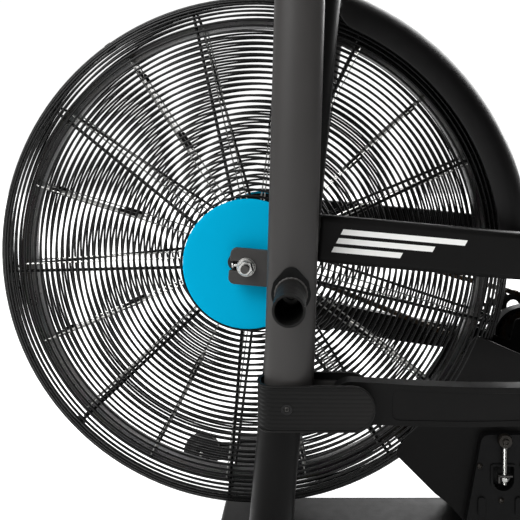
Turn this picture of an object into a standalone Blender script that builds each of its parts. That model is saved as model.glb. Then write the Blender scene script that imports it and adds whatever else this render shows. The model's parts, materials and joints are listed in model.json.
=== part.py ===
"""Air bike: a fan exercise bike with a wire fan cage, swinging arm levers and a two-stage chain drive.

The bike faces -X. Z is up from the floor and Y runs across, with the rider's left side at -Y.
Sizes are in metres. The fan's axis is the reference for most places: at(x, y, z) is measured from it.
"""
import math

import bmesh
import bpy
from mathutils import Matrix, Vector

# Driving dimensions
CAGE_RADIUS = 0.350
REAR_END = 0.902
CAP_PROUD = 0.003
FAN_X = (CAGE_RADIUS - REAR_END - CAP_PROUD) / 2
FAN_Z = 0.450
GAP = 0.0003
SIDES = (("left", -1), ("right", 1))

# Frame
BEAM_TOP = -0.364
BEAM_HEIGHT = 0.060
BEAM_WIDTH = 0.070
STABILISER_TOP = -0.380
STABILISER_HEIGHT = 0.050
STABILISER_DEPTH = 0.060
STABILISER_HALF = 0.250
FRONT_STABILISER_X = -0.002
FRONT_STABILISER_DEPTH = 0.100
WHEEL_RADIUS = 0.033
WHEEL_HALF = 0.006
WHEEL_X = -0.122
WHEEL_Z = 0.046
CHEEK_LAP = 0.010
CHEEK_NOSE = 0.012
CHEEK_THICK = 0.0055
CHEEK_HEIGHT = 0.026
CHEEK_Y = 0.0095
CAP_LENGTH = 0.026
MAST_LEAN = math.radians(5.2)
MAST_RADIUS = 0.025
MAST_Y = 0.1595
MAST_TOP = 0.430
MAST_FOOT = -0.3765
BRIDGE_Z = 0.405
AXLE_PLATE_Y = 0.133
AXLE_PLATE_THICK = 0.008
BAR_HEIGHT = 0.054
BAR_THICK = 0.024
BAR_FRONT = (0.0880, 0.0368)
BAR_BEND_X = 0.300
GUSSET_Y = 0.038
GUSSET_THICK = 0.005

# Fan, cage and shroud
DISC_RADIUS = 0.079
DISC_Y = 0.1145
HUB_DEPTH = 0.110
SHOULDER_RADIUS = 0.303
SHOULDER_DEPTH = 0.043
WIRE = 0.003
FACE_RINGS = 8
SHOULDER_RING = 0.332
RING_BAND = 0.0042
CAGE_SPOKES = 9
SPOKE_PHASE = math.radians(20.7)
BLADES = 9
BLADE_PHASE = math.radians(2.7)
HOOP_RADIUS = 0.310
HOOP_HALF = 0.034
AXLE_RADIUS = 0.005
SHROUD_INNER = 0.320
SHROUD_OUTER = 0.366
SHROUD_HALF = 0.062
SHROUD_WALL = 0.004
SHROUD_FROM = math.radians(-4)
SHROUD_TO = math.radians(71)

# Levers and links
PIVOT = (0.055, -0.013)
LEVER_Y = 0.208
LEVER_WIDTH = 0.053
LEVER_DEPTH = 0.036
LEVER_LEAN = math.radians(1.63)
LEVER_STAGGER = math.radians(6.57)
LEVER_FOOT = -0.152
LEVER_KNEE = 0.450
HANDLE_RADIUS = 0.016
GRIP_RADIUS = 0.0195
PEG_RADIUS = 0.0155
PEG_BORE = 0.013
PEG_END = 0.303
LINK_PIVOT = (0.1175, -0.130)
LINK_THICK = 0.018

# Drive
CHAIN_PITCH = 0.0127
CHAIN_HALF = 0.004
ROOT_GAP = 0.0015
CRANK = (0.520, -0.150)
CRANK_PHASE = math.radians(77.4)
PIN_RADIUS = 0.038
CRANK_LENGTH = 0.170
MID = (0.392, -0.133)
FAN_CHAIN_Y = 0.122
DRIVE_CHAIN_Y = 0.062
FAN_TEETH = 14
MID_TEETH = 25
MID_SMALL_TEETH = 14
RING_TEETH = 38

# Seat and console
SEAT_LEAN = math.radians(9.2)
SEAT_TUBE_X = 0.585
SEAT_TUBE_LENGTH = 0.470
POST = 0.038
POST_LENGTH = 0.440
POST_IN = 0.150
SADDLE_LENGTH = 0.270
SADDLE_WIDTH = 0.215
CONSOLE_TILT = math.radians(52)
CONSOLE_AT = (0.168, 0.738)

BLACK = (0.030, 0.030, 0.031)
CHARCOAL = (0.045, 0.044, 0.043)
BLUE = (0.003, 0.402, 0.690)


# Scene and materials
def new_collection(name, hidden=False):
    collection = bpy.data.collections.new(name)
    bpy.context.scene.collection.children.link(collection)
    collection.hide_render = hidden
    return collection


for old in list(bpy.data.objects):
    bpy.data.objects.remove(old)
PARTS = new_collection("air_bike")
CUTTERS = new_collection("cutters", hidden=True)


def material(name, colour, roughness, metallic=0.0):
    made = bpy.data.materials.new(name)
    made.use_nodes = True
    shader = made.node_tree.nodes["Principled BSDF"]
    shader.inputs["Base Color"].default_value = (*colour, 1.0)
    shader.inputs["Roughness"].default_value = roughness
    shader.inputs["Metallic"].default_value = metallic
    return made


LOOKS = {
    "frame_black": ((0.030, 0.030, 0.030), 0.42, 0.0),
    "lever_charcoal": (CHARCOAL, 0.38, 0.0),
    "black_plastic": (BLACK, 0.50, 0.0),
    "cover_plastic": ((0.050, 0.049, 0.047), 0.55, 0.0),
    "wire_black": ((0.020, 0.020, 0.020), 0.35, 0.3),
    "disc_blue": (BLUE, 0.45, 0.0),
    "fan_metal": ((0.16, 0.155, 0.145), 0.45, 0.8),
    "steel": ((0.55, 0.55, 0.54), 0.30, 1.0),
    "chain_steel": ((0.16, 0.12, 0.08), 0.40, 0.9),
    "rubber_black": ((0.018, 0.018, 0.018), 0.80, 0.0),
    "saddle_vinyl": ((0.022, 0.022, 0.023), 0.60, 0.0),
}


# Shapes
def at(x, y, z):
    return Vector((FAN_X + x, y, FAN_Z + z))


def place_mesh(name, mesh, collection=PARTS):
    made = bpy.data.objects.new(name, mesh)
    collection.objects.link(made)
    if collection is CUTTERS:
        made.hide_render = True
        made.display_type = "WIRE"
    return made


def finish(made, look, smooth_angle=35):
    """Gives an object its own material and rounds its shading."""
    made.data.materials.clear()
    made.data.materials.append(material(made.name, *LOOKS[look]))
    made.data.shade_smooth()
    made.data.set_sharp_from_angle(angle=math.radians(smooth_angle))
    return made


def box(name, size, centre, turn=0.0, collection=PARTS):
    """A block turned about Y by turn."""
    mesh = bpy.data.meshes.new(name)
    work = bmesh.new()
    bmesh.ops.create_cube(work, size=1.0)
    bmesh.ops.scale(work, vec=size, verts=work.verts)
    work.to_mesh(mesh)
    work.free()
    made = place_mesh(name, mesh, collection)
    made.location = centre
    made.rotation_euler = (0, turn, 0)
    return made


def rounded(made, radius, segments=2):
    bevel = made.modifiers.new("round", "BEVEL")
    bevel.width = radius
    bevel.segments = segments
    bevel.limit_method = "ANGLE"
    bevel.angle_limit = math.radians(50)
    return made


def rod(name, start, end, radius, sides=16, collection=PARTS, end_radius=None):
    """A round bar, or a cone, from start to end."""
    start, end = Vector(start), Vector(end)
    along = end - start
    mesh = bpy.data.meshes.new(name)
    work = bmesh.new()
    bmesh.ops.create_cone(
        work, cap_ends=True, segments=sides, radius1=radius,
        radius2=radius if end_radius is None else end_radius, depth=along.length)
    work.to_mesh(mesh)
    work.free()
    made = place_mesh(name, mesh, collection)
    made.location = (start + end) / 2
    made.rotation_mode = "QUATERNION"
    made.rotation_quaternion = Vector((0, 0, 1)).rotation_difference(along)
    return made


def as_mesh(curve_object, collection):
    """The curve's evaluated shape as a welded mesh object; the curve is removed."""
    bpy.context.view_layer.update()
    evaluated = curve_object.evaluated_get(bpy.context.evaluated_depsgraph_get())
    mesh = bpy.data.meshes.new_from_object(evaluated)
    work = bmesh.new()
    work.from_mesh(mesh)
    bmesh.ops.remove_doubles(work, verts=work.verts, dist=0.00001)
    bmesh.ops.recalc_face_normals(work, faces=work.faces)
    work.to_mesh(mesh)
    work.free()
    name = curve_object.name
    matrix = curve_object.matrix_world.copy()
    bpy.data.objects.remove(curve_object)
    made = place_mesh(name, mesh, collection)
    made.matrix_world = matrix
    return made


def new_curve(name, dimensions):
    curve = bpy.data.curves.new(name, "CURVE")
    curve.dimensions = dimensions
    made = bpy.data.objects.new(name, curve)
    PARTS.objects.link(made)
    return made


def add_poly(curve, points, closed=False):
    spline = curve.splines.new("POLY")
    spline.points.add(len(points) - 1)
    for point, place in zip(spline.points, points):
        point.co = (*place, 1.0)
    spline.use_cyclic_u = closed


def tube(name, points, radius, resolution=3, collection=PARTS, squash=1.0):
    """A round tube along points that share one Y; squash narrows it across."""
    middle = Vector((0, points[0][1], 0))
    made = new_curve(name, "3D")
    add_poly(made.data, [Vector(p) - middle for p in points])
    made.data.bevel_depth = radius
    made.data.bevel_resolution = resolution
    made.data.use_fill_caps = True
    made.scale = (1, squash, 1)
    made.location = middle
    return as_mesh(made, collection)


def plate(name, outlines, y_centre, thickness, collection=PARTS):
    """A flat plate in an XZ plane from closed outlines; the inner ones are holes."""
    made = new_curve(name, "2D")
    for outline in outlines:
        add_poly(made.data, [(x, z, 0) for x, z in outline], closed=True)
    made.data.fill_mode = "BOTH"
    made.data.extrude = thickness / 2
    made.rotation_euler = (math.pi / 2, 0, 0)
    made.location = at(0, y_centre, 0)
    return as_mesh(made, collection)


def slab(name, outline, z_centre, thickness, collection=PARTS):
    """A flat plate in an XY plane."""
    made = new_curve(name, "2D")
    add_poly(made.data, [(x, y, 0) for x, y in outline], closed=True)
    made.data.fill_mode = "BOTH"
    made.data.extrude = thickness / 2
    made.location = at(0, 0, z_centre)
    return as_mesh(made, collection)


def boolean(made, other, operation):
    step = made.modifiers.new(operation.lower(), "BOOLEAN")
    step.operation = operation
    step.object = other
    step.solver = "EXACT"
    return made


def join(made, *others):
    for other in others:
        boolean(made, other, "UNION")
    return made


def cut(made, *others):
    for other in others:
        boolean(made, other, "DIFFERENCE")
    return made


def turned(name, profile, centre, steps=32, collection=PARTS):
    """A ring turned about Y through centre; profile is (radius, along) points, outer side first."""
    mesh = bpy.data.meshes.new(name)
    work = bmesh.new()
    corners = [work.verts.new((radius, 0, along)) for radius, along in profile]
    for first, second in zip(corners, corners[1:] + corners[:1]):
        work.edges.new((first, second))
    work.to_mesh(mesh)
    work.free()
    made = place_mesh(name, mesh, collection)
    screw = made.modifiers.new("turn", "SCREW")
    screw.steps = steps
    screw.render_steps = steps
    screw.use_merge_vertices = True
    screw.merge_threshold = 0.00005
    made.rotation_euler = (-math.pi / 2, 0, 0)
    made.location = centre
    return made


def arc(centre, radius, start, end, steps):
    """Points along an arc in a plane, angles in radians."""
    return [
        (centre[0] + radius * math.cos(start + (end - start) * i / steps),
         centre[1] + radius * math.sin(start + (end - start) * i / steps))
        for i in range(steps + 1)]


def belt_outline(first, first_radius, second, second_radius, steps=12):
    """The outline of a belt round two wheels."""
    apart = Vector(second) - Vector(first)
    heading = math.atan2(apart.y, apart.x)
    spread = math.acos((first_radius - second_radius) / apart.length)
    far = arc(second, second_radius, heading - spread, heading + spread, steps)
    near = arc(first, first_radius, heading + spread, heading - spread + 2 * math.pi, steps)
    return far + near


def pitch_radius(teeth):
    return CHAIN_PITCH / 2 / math.sin(math.pi / teeth)


def hang(name, place, pieces, turn=0.0):
    """Parents pieces to an empty on their joint's axis, then turns it about Y."""
    axis = bpy.data.objects.new(name, None)
    PARTS.objects.link(axis)
    axis.location = place
    bpy.context.view_layer.update()
    for piece in pieces:
        piece.parent = axis
        piece.matrix_parent_inverse = axis.matrix_world.inverted()
    axis.rotation_euler = (0, turn, 0)
    return axis


def on_circle(centre, radius, angle):
    return centre[0] + radius * math.cos(angle), centre[1] + radius * math.sin(angle)


def lever_x(z):
    return PIVOT[0] + (z - PIVOT[1]) * math.tan(LEVER_LEAN)


def mast_x(z):
    return PIVOT[0] + (z - PIVOT[1]) * math.tan(MAST_LEAN)


# Floor frame
def make_floor_frame():
    front_end = FRONT_STABILISER_X + FRONT_STABILISER_DEPTH / 2 + GAP
    rear_start = REAR_END - STABILISER_DEPTH
    beam = box(
        "floor_beam", (rear_start - GAP - front_end, BEAM_WIDTH, BEAM_HEIGHT),
        at((front_end + rear_start - GAP) / 2, 0, BEAM_TOP - BEAM_HEIGHT / 2))
    finish(rounded(beam, 0.006), "frame_black")
    places = (
        ("front", FRONT_STABILISER_X, FRONT_STABILISER_DEPTH),
        ("rear", rear_start + STABILISER_DEPTH / 2, STABILISER_DEPTH))
    for end, x, depth in places:
        bar = box(
            f"{end}_stabiliser", (depth, 2 * STABILISER_HALF, STABILISER_HEIGHT),
            at(x, 0, STABILISER_TOP - STABILISER_HEIGHT / 2))
        rounded(bar, 0.006)
        if end == "rear":
            for side, sign in SIDES:
                cut(bar, foot_hole(x, side, sign))
        finish(bar, "frame_black")
        for side, sign in SIDES:
            make_end_cap(end, x, depth, side, sign)


def foot_place(x, sign):
    return at(x, sign * (STABILISER_HALF - 0.035), 0)


def foot_hole(x, side, sign):
    place = foot_place(x, sign)
    return rod(
        f"foot_hole_{side}", (place.x, place.y, 0.010), (place.x, place.y, 0.050),
        0.0060, collection=CUTTERS)


def make_end_cap(end, x, depth, side, sign):
    name = f"{end}_end_cap_{side}"
    y = sign * (STABILISER_HALF + GAP + CAP_LENGTH / 2)
    low = 0.0 if end == "front" else 0.012
    high = FAN_Z + STABILISER_TOP + CAP_PROUD
    cap = box(
        name, (depth + 2 * CAP_PROUD, CAP_LENGTH, high - low), Vector((FAN_X + x, y, (low + high) / 2)))
    rounded(cap, 0.004)
    if end == "rear":
        finish(cap, "rubber_black")
        make_foot(x, side, sign)
        return
    cheek_front = WHEEL_X - CHEEK_NOSE
    cheek_rear = x - depth / 2 + CHEEK_LAP
    for turn_side in (-1, 1):
        cheek = box(
            f"cheek_{side}_{turn_side}", (cheek_rear - cheek_front, CHEEK_THICK, CHEEK_HEIGHT),
            Vector((FAN_X + (cheek_rear + cheek_front) / 2, y + turn_side * CHEEK_Y, WHEEL_Z)),
            collection=CUTTERS)
        join(cap, cheek)
    pin_end = CHEEK_Y + 0.002
    pin = rod(f"wheel_pin_{side}", (FAN_X + WHEEL_X, y - pin_end, WHEEL_Z),
              (FAN_X + WHEEL_X, y + pin_end, WHEEL_Z), 0.004, 12, CUTTERS)
    join(cap, pin)
    finish(cap, "rubber_black")
    wheel = turned(
        f"transport_wheel_{side}",
        [(WHEEL_RADIUS, WHEEL_HALF), (WHEEL_RADIUS, -WHEEL_HALF), (0.0043, -WHEEL_HALF), (0.0043, WHEEL_HALF)],
        Vector((FAN_X + WHEEL_X, y, WHEEL_Z)), 20)
    finish(wheel, "rubber_black")


def make_foot(x, side, sign):
    place = foot_place(x, sign)
    foot = rod(f"rear_foot_{side}", (place.x, place.y, 0), (place.x, place.y, 0.012), 0.021, 20)
    stem = rod(f"foot_stem_{side}", (place.x, place.y, 0.008), (place.x, place.y, 0.040), 0.005, 12, CUTTERS)
    finish(join(foot, stem), "rubber_black")


# Masts, bars, gussets
def make_masts():
    for side, sign in SIDES:
        y = sign * MAST_Y
        mast = rod(f"mast_{side}", at(mast_x(MAST_FOOT), y, MAST_FOOT),
                   at(mast_x(MAST_TOP), y, MAST_TOP), MAST_RADIUS, 20)
        inner_y = sign * AXLE_PLATE_Y
        lug = plate(f"axle_lug_{side}", [axle_plate_outline()], inner_y, AXLE_PLATE_THICK, CUTTERS)
        boss = rod(f"pivot_boss_{side}", at(PIVOT[0], y, PIVOT[1]),
                   at(PIVOT[0], sign * 0.1893, PIVOT[1]), 0.018, 20, CUTTERS)
        pivot = rod(f"pivot_pin_{side}", at(PIVOT[0], y, PIVOT[1]),
                    at(PIVOT[0], sign * 0.236, PIVOT[1]), 0.008, 12, CUTTERS)
        head = rod(f"pivot_head_{side}", at(PIVOT[0], sign * 0.2275, PIVOT[1]),
                   at(PIVOT[0], sign * 0.2355, PIVOT[1]), 0.0115, 12, CUTTERS)
        finish(join(mast, lug, boss, pivot, head), "frame_black")
    bridge_x = mast_x(BRIDGE_Z)
    reach = MAST_Y - MAST_RADIUS - GAP
    bridge = rod("mast_bridge", at(bridge_x, -reach, BRIDGE_Z), at(bridge_x, reach, BRIDGE_Z), 0.019, 16)
    neck = tube("console_neck", [
        at(bridge_x, 0, BRIDGE_Z), at(bridge_x + 0.006, 0, BRIDGE_Z + 0.12),
        at(bridge_x + 0.022, 0, BRIDGE_Z + 0.22), at(CONSOLE_AT[0] - 0.030, 0, CONSOLE_AT[1] - 0.026)],
        0.016, 2, CUTTERS)
    finish(join(bridge, neck), "frame_black")


def axle_plate_outline():
    """A lug square to the mast, open at the front so that the axle drops in."""
    half = 0.022
    slot = AXLE_RADIUS + 0.0004
    front = -0.020
    corner = 0.006
    points = [(front, slot)]
    points += arc((front + corner, half - corner), corner, math.pi, math.pi / 2, 3)
    points += [(0.058, half), (0.058, -half)]
    points += arc((front + corner, -half + corner), corner, -math.pi / 2, -math.pi, 3)
    points += [(front, -slot)]
    points += arc((0, 0), slot, -math.pi / 2, math.pi / 2, 8)
    return points


def bar_centre(x):
    return BAR_FRONT[1] - (x - BAR_FRONT[0]) * math.tan(MAST_LEAN)


def make_support_bars():
    """The flat-sided bars run back from the masts and close in on the seat tube."""
    front = mast_x(BAR_FRONT[1]) + MAST_RADIUS + 0.002
    half = BAR_THICK / 2
    rear = 0.632
    rear_y = 0.0255 + half
    slope = math.atan2(MAST_Y - rear_y, rear - BAR_BEND_X)
    lead = half * math.tan(slope / 2)
    for side, sign in SIDES:
        outline = [
            (front, MAST_Y + half), (BAR_BEND_X + lead, MAST_Y + half),
            (rear, rear_y + half / math.cos(slope)), (rear, 0.0255 + GAP),
            (rear - 0.030, 0.0255 + GAP), (BAR_BEND_X - lead, MAST_Y - half), (front, MAST_Y - half)]
        outline = [(x, sign * y) for x, y in outline]
        middle = (front + rear) / 2
        bar = slab(f"support_bar_{side}", [(x - middle, y) for x, y in outline], 0, BAR_HEIGHT)
        bar.location = at(middle, 0, bar_centre(middle))
        bar.rotation_euler = (0, MAST_LEAN, 0)
        finish(rounded(bar, 0.007), "frame_black")


GUSSET_OUTLINE = (
    (0.189, -0.267), (0.297, -0.107), (0.366, -0.137), (0.374, -0.104), (0.410, -0.100),
    (0.500, -0.112), (0.560, -0.092), (0.630, -0.115), (0.600, -0.400), (0.318, -0.400),
    (0.262, -0.336), (0.242, -0.3205))


def circle(centre, radius, steps=16):
    return arc(centre, radius, 0, 2 * math.pi, steps)[:-1]


def make_gussets():
    for side, sign in SIDES:
        y = sign * GUSSET_Y
        gusset = plate(
            f"gusset_{side}", [list(GUSSET_OUTLINE), circle(CRANK, 0.0250, 24), circle(MID, 0.0086, 12)],
            y, GUSSET_THICK)
        finish(gusset, "frame_black")
    shell = rod("crank_housing", at(CRANK[0], -0.100, CRANK[1]), at(CRANK[0], 0.048, CRANK[1]), 0.024, 20)
    bore = rod("housing_bore", at(CRANK[0], -0.110, CRANK[1]), at(CRANK[0], 0.060, CRANK[1]),
               0.0095, 16, CUTTERS)
    finish(cut(shell, bore), "frame_black")


def make_seat_tube():
    along = Vector((math.sin(SEAT_LEAN), 0, math.cos(SEAT_LEAN)))
    foot = at(SEAT_TUBE_X, 0, BEAM_TOP + 0.0055)
    middle = foot + along * SEAT_TUBE_LENGTH / 2
    sleeve = box("seat_tube", (0.060, 0.051, SEAT_TUBE_LENGTH), middle, SEAT_LEAN)
    rounded(sleeve, 0.006)
    hollow = box("post_hollow", (POST + 0.001, POST + 0.001, 0.400),
                 foot + along * (SEAT_TUBE_LENGTH - 0.190), SEAT_LEAN, CUTTERS)
    across = Vector((math.cos(SEAT_LEAN), 0, -math.sin(SEAT_LEAN)))
    knob_at = foot + along * (SEAT_TUBE_LENGTH - 0.045)
    pin_hole = rod("post_pin_hole", knob_at, knob_at + across * 0.050, 0.0056, 12, CUTTERS)
    finish(cut(sleeve, hollow, pin_hole), "frame_black")
    pin = rod("post_knob", knob_at + across * (POST / 2 + GAP + 0.0002),
              knob_at + across * 0.050, 0.0050, 12)
    grip = rod("post_knob_grip", knob_at + across * 0.0305, knob_at + across * 0.056, 0.014, 12,
               CUTTERS, 0.017)
    finish(join(pin, grip), "black_plastic")

    top = foot + along * (SEAT_TUBE_LENGTH - POST_IN + POST_LENGTH)
    post = box("seat_post", (POST, POST, POST_LENGTH), top - along * POST_LENGTH / 2, SEAT_LEAN)
    rail_at = top + Vector((0, 0, 0.012))
    rail = box("post_rail", (0.210, 0.052, 0.028), rail_at, 0, CUTTERS)
    finish(join(post, rail), "steel")
    make_saddle(rail_at)


def make_saddle(rail):
    slider = box("seat_slider", (0.090, 0.072, 0.050), rail, 0)
    slot = box("slider_slot", (0.120, 0.0528, 0.0288), rail, 0, CUTTERS)
    relief = box("slider_relief", (0.120, 0.0400, 0.0200), rail + Vector((0, 0, -0.0202)), 0, CUTTERS)
    pin_hole = rod("slider_pin_hole", rail, rail + Vector((0, -0.045, 0)), 0.0046, 12, CUTTERS)
    cut(slider, slot, relief, pin_hole)
    finish(slider, "frame_black")
    knob = rod("slider_knob", rail + Vector((0, -0.0265, 0)), rail + Vector((0, -0.055, 0)), 0.004, 12)
    grip = rod("slider_knob_grip", rail + Vector((0, -0.0365, 0)), rail + Vector((0, -0.061, 0)), 0.013, 12,
               CUTTERS, 0.016)
    finish(join(knob, grip), "black_plastic")
    base = rail.z + 0.025 + GAP
    outline = saddle_outline(rail.x)
    saddle = slab("saddle", outline, 0, 0.064)
    saddle.location = (0, 0, base + 0.032)
    finish(rounded(saddle, 0.018, 3), "saddle_vinyl")


def saddle_outline(x_centre):
    """A broad rear, a waist and a rounded nose that points at the fan."""
    half = SADDLE_WIDTH / 2
    nose = SADDLE_LENGTH / 2
    side = [
        (x_centre + nose, 0.040), (x_centre + nose - 0.018, 0.080), (x_centre + nose - 0.060, half),
        (x_centre + nose - 0.110, half - 0.010), (x_centre + nose - 0.160, 0.058),
        (x_centre + nose - 0.215, 0.034), (x_centre - nose + 0.012, 0.026), (x_centre - nose, 0.012)]
    return side + [(x, -y) for x, y in reversed(side)]


# Fan and cage
def cage_depth(radius):
    """How far the cage face stands out from the middle plane at this radius."""
    if radius <= SHOULDER_RADIUS:
        share = (radius - DISC_RADIUS) / (SHOULDER_RADIUS - DISC_RADIUS)
        return HUB_DEPTH + (SHOULDER_DEPTH - HUB_DEPTH) * share
    share = (radius - SHOULDER_RADIUS) / (CAGE_RADIUS - SHOULDER_RADIUS)
    return max(SHOULDER_DEPTH * math.sqrt(max(0.0, 1 - share * share)), 0.0015)


def cage_profile():
    """(radius, depth, kept) rows: kept rows of faces are rings, the others are gaps between them."""
    spread = SHOULDER_RADIUS - RING_BAND - DISC_RADIUS
    rings = [DISC_RADIUS + spread * i / FACE_RINGS for i in range(FACE_RINGS + 1)]
    rows = []
    for radius in rings + [SHOULDER_RING]:
        rows.append((radius, cage_depth(radius), True))
        rows.append((radius + RING_BAND, cage_depth(radius + RING_BAND), False))
    rows.append((CAGE_RADIUS, 0.0060, True))
    rows.append((CAGE_RADIUS, 0.0012, False))
    return rows


def make_cage_half(side, sign):
    """A dished grille of rings and spokes, one welded piece."""
    rows = cage_profile()
    columns = []
    sector = 2 * math.pi / CAGE_SPOKES
    for spoke in range(CAGE_SPOKES):
        start = SPOKE_PHASE + spoke * sector
        for share in (0.0, 0.045, 0.36, 0.68):
            columns.append((start + share * sector, share == 0.0))
    mesh = bpy.data.meshes.new(f"cage_{side}")
    work = bmesh.new()
    grid = [[work.verts.new((r * math.cos(a), sign * d, r * math.sin(a))) for a, _ in columns]
            for r, d, _ in rows]
    for i in range(len(rows) - 1):
        for j, (_, is_spoke) in enumerate(columns):
            if rows[i][2] or is_spoke:
                following = (j + 1) % len(columns)
                work.faces.new((grid[i][j], grid[i + 1][j], grid[i + 1][following], grid[i][following]))
    loose = [v for v in work.verts if not v.link_faces]
    bmesh.ops.delete(work, geom=loose, context="VERTS")
    bmesh.ops.recalc_face_normals(work, faces=work.faces)
    work.faces.ensure_lookup_table()
    if work.faces[0].normal.y * sign < 0:
        bmesh.ops.reverse_faces(work, faces=work.faces)
    work.to_mesh(mesh)
    work.free()
    cage = place_mesh(f"cage_{side}", mesh)
    cage.location = at(0, 0, 0)
    wall = cage.modifiers.new("wall", "SOLIDIFY")
    wall.thickness = WIRE
    wall.offset = -1
    finish(cage, "wire_black")


def make_cage():
    for side, sign in SIDES:
        make_cage_half(side, sign)
        bore = 0.016 if side == "left" else 0.034
        disc = turned(
            f"hub_disc_{side}",
            [(DISC_RADIUS, 0.0015), (DISC_RADIUS, -0.0015), (bore, -0.0015), (bore, 0.0015)],
            at(0, sign * DISC_Y, 0), 40)
        finish(disc, "disc_blue")


def make_shroud():
    """A guard over the fan's rear and top: a curved back wall with a flange on each side."""
    steps = 18
    mesh = bpy.data.meshes.new("shroud")
    work = bmesh.new()
    section = [
        (SHROUD_INNER, -SHROUD_HALF), (SHROUD_OUTER - 0.014, -SHROUD_HALF),
        (SHROUD_OUTER, -SHROUD_HALF + 0.016), (SHROUD_OUTER, SHROUD_HALF - 0.016),
        (SHROUD_OUTER - 0.014, SHROUD_HALF), (SHROUD_INNER, SHROUD_HALF)]
    rows = []
    for i in range(steps + 1):
        angle = SHROUD_FROM + (SHROUD_TO - SHROUD_FROM) * i / steps
        rows.append([work.verts.new((r * math.cos(angle), y, r * math.sin(angle))) for r, y in section])
    for low, high in zip(rows, rows[1:]):
        for j in range(len(section) - 1):
            work.faces.new((low[j], low[j + 1], high[j + 1], high[j]))
    bmesh.ops.recalc_face_normals(work, faces=work.faces)
    work.faces.ensure_lookup_table()
    middle = work.faces[2]
    if middle.normal.dot(middle.calc_center_median()) < 0:
        bmesh.ops.reverse_faces(work, faces=work.faces)
    work.to_mesh(mesh)
    work.free()
    shroud = place_mesh("shroud", mesh)
    shroud.location = at(0, 0, 0)
    wall = shroud.modifiers.new("wall", "SOLIDIFY")
    wall.thickness = SHROUD_WALL
    wall.offset = -1
    finish(shroud, "black_plastic")


def make_fan():
    axle = rod("fan_axle", at(0, -0.156, 0), at(0, 0.156, 0), AXLE_RADIUS, 16)
    for side, sign in SIDES:
        face = sign * (AXLE_PLATE_Y + AXLE_PLATE_THICK / 2 + GAP)
        washer = rod(f"axle_washer_{side}", at(0, face, 0), at(0, face + sign * 0.002, 0), 0.0105, 20, CUTTERS)
        nut = rod(f"axle_nut_{side}", at(0, face + sign * 0.0015, 0), at(0, face + sign * 0.011, 0),
                  0.0090, 6, CUTTERS)
        join(axle, washer, nut)
    finish(axle, "steel")

    wheel = turned(
        "fan_wheel",
        [(0.034, 0.048), (0.034, -0.048), (0.0056, -0.048), (0.0056, 0.048)], at(0, 0, 0), 24)
    hoop = turned(
        "fan_hoop",
        [(HOOP_RADIUS + 0.003, HOOP_HALF), (HOOP_RADIUS + 0.003, -HOOP_HALF),
         (HOOP_RADIUS, -HOOP_HALF), (HOOP_RADIUS, HOOP_HALF)], at(0, 0, 0), 36, CUTTERS)
    join(wheel, hoop)
    for i in range(BLADES):
        angle = BLADE_PHASE + i * 2 * math.pi / BLADES
        arm_middle = 0.168
        arm = box(f"fan_arm_{i}", (0.286, 0.010, 0.003),
                  at(arm_middle * math.cos(angle), 0, arm_middle * math.sin(angle)), -angle, CUTTERS)
        vane_middle = 0.2355
        vane = box(f"fan_vane_{i}", (0.151, 0.058, 0.0025),
                   at(vane_middle * math.cos(angle), 0, vane_middle * math.sin(angle)), -angle, CUTTERS)
        join(wheel, arm, vane)
    finish(wheel, "fan_metal")

    root = pitch_radius(FAN_TEETH) - CHAIN_HALF - ROOT_GAP
    sprocket = turned(
        "fan_sprocket",
        [(root, FAN_CHAIN_Y + 0.0025), (root, FAN_CHAIN_Y - 0.0025), (0.020, FAN_CHAIN_Y - 0.0025),
         (0.020, 0.0483), (0.0056, 0.0483), (0.0056, FAN_CHAIN_Y + 0.0025)], at(0, 0, 0), 24)
    finish(sprocket, "steel")


# Drive
def sprocket(name, centre, teeth, y, bore):
    root = pitch_radius(teeth) - CHAIN_HALF - ROOT_GAP
    made = turned(name, [(root, 0.0025), (root, -0.0025), (bore, -0.0025), (bore, 0.0025)],
                  at(centre[0], y, centre[1]), 28)
    return finish(made, "steel")


def chain(name, first, first_teeth, second, second_teeth, y, steps):
    outlines = [
        belt_outline(first, pitch_radius(first_teeth) + offset, second, pitch_radius(second_teeth) + offset,
                     steps)
        for offset in (CHAIN_HALF, -CHAIN_HALF)]
    return finish(plate(name, outlines, y, 2 * CHAIN_HALF), "chain_steel")


def make_drive():
    shaft = rod("mid_shaft", at(MID[0], -0.050, MID[1]), at(MID[0], 0.130, MID[1]), 0.008, 16)
    finish(shaft, "steel")
    bore = 0.008 + GAP
    sprocket("mid_sprocket_large", MID, MID_TEETH, FAN_CHAIN_Y, bore)
    sprocket("mid_sprocket_small", MID, MID_SMALL_TEETH, DRIVE_CHAIN_Y, bore)
    sprocket("chainring", CRANK, RING_TEETH, DRIVE_CHAIN_Y, 0.009 + GAP)
    chain("fan_chain", (0, 0), FAN_TEETH, MID, MID_TEETH, FAN_CHAIN_Y, 12)
    chain("drive_chain", MID, MID_SMALL_TEETH, CRANK, RING_TEETH, DRIVE_CHAIN_Y, 14)
    make_chain_cover()
    make_front_cover()

    axle = rod("crank_axle", at(CRANK[0], -0.1777, CRANK[1]), at(CRANK[0], 0.1777, CRANK[1]), 0.009, 16)
    finish(axle, "steel")
    for side, sign in SIDES:
        make_crank(side, sign)


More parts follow.
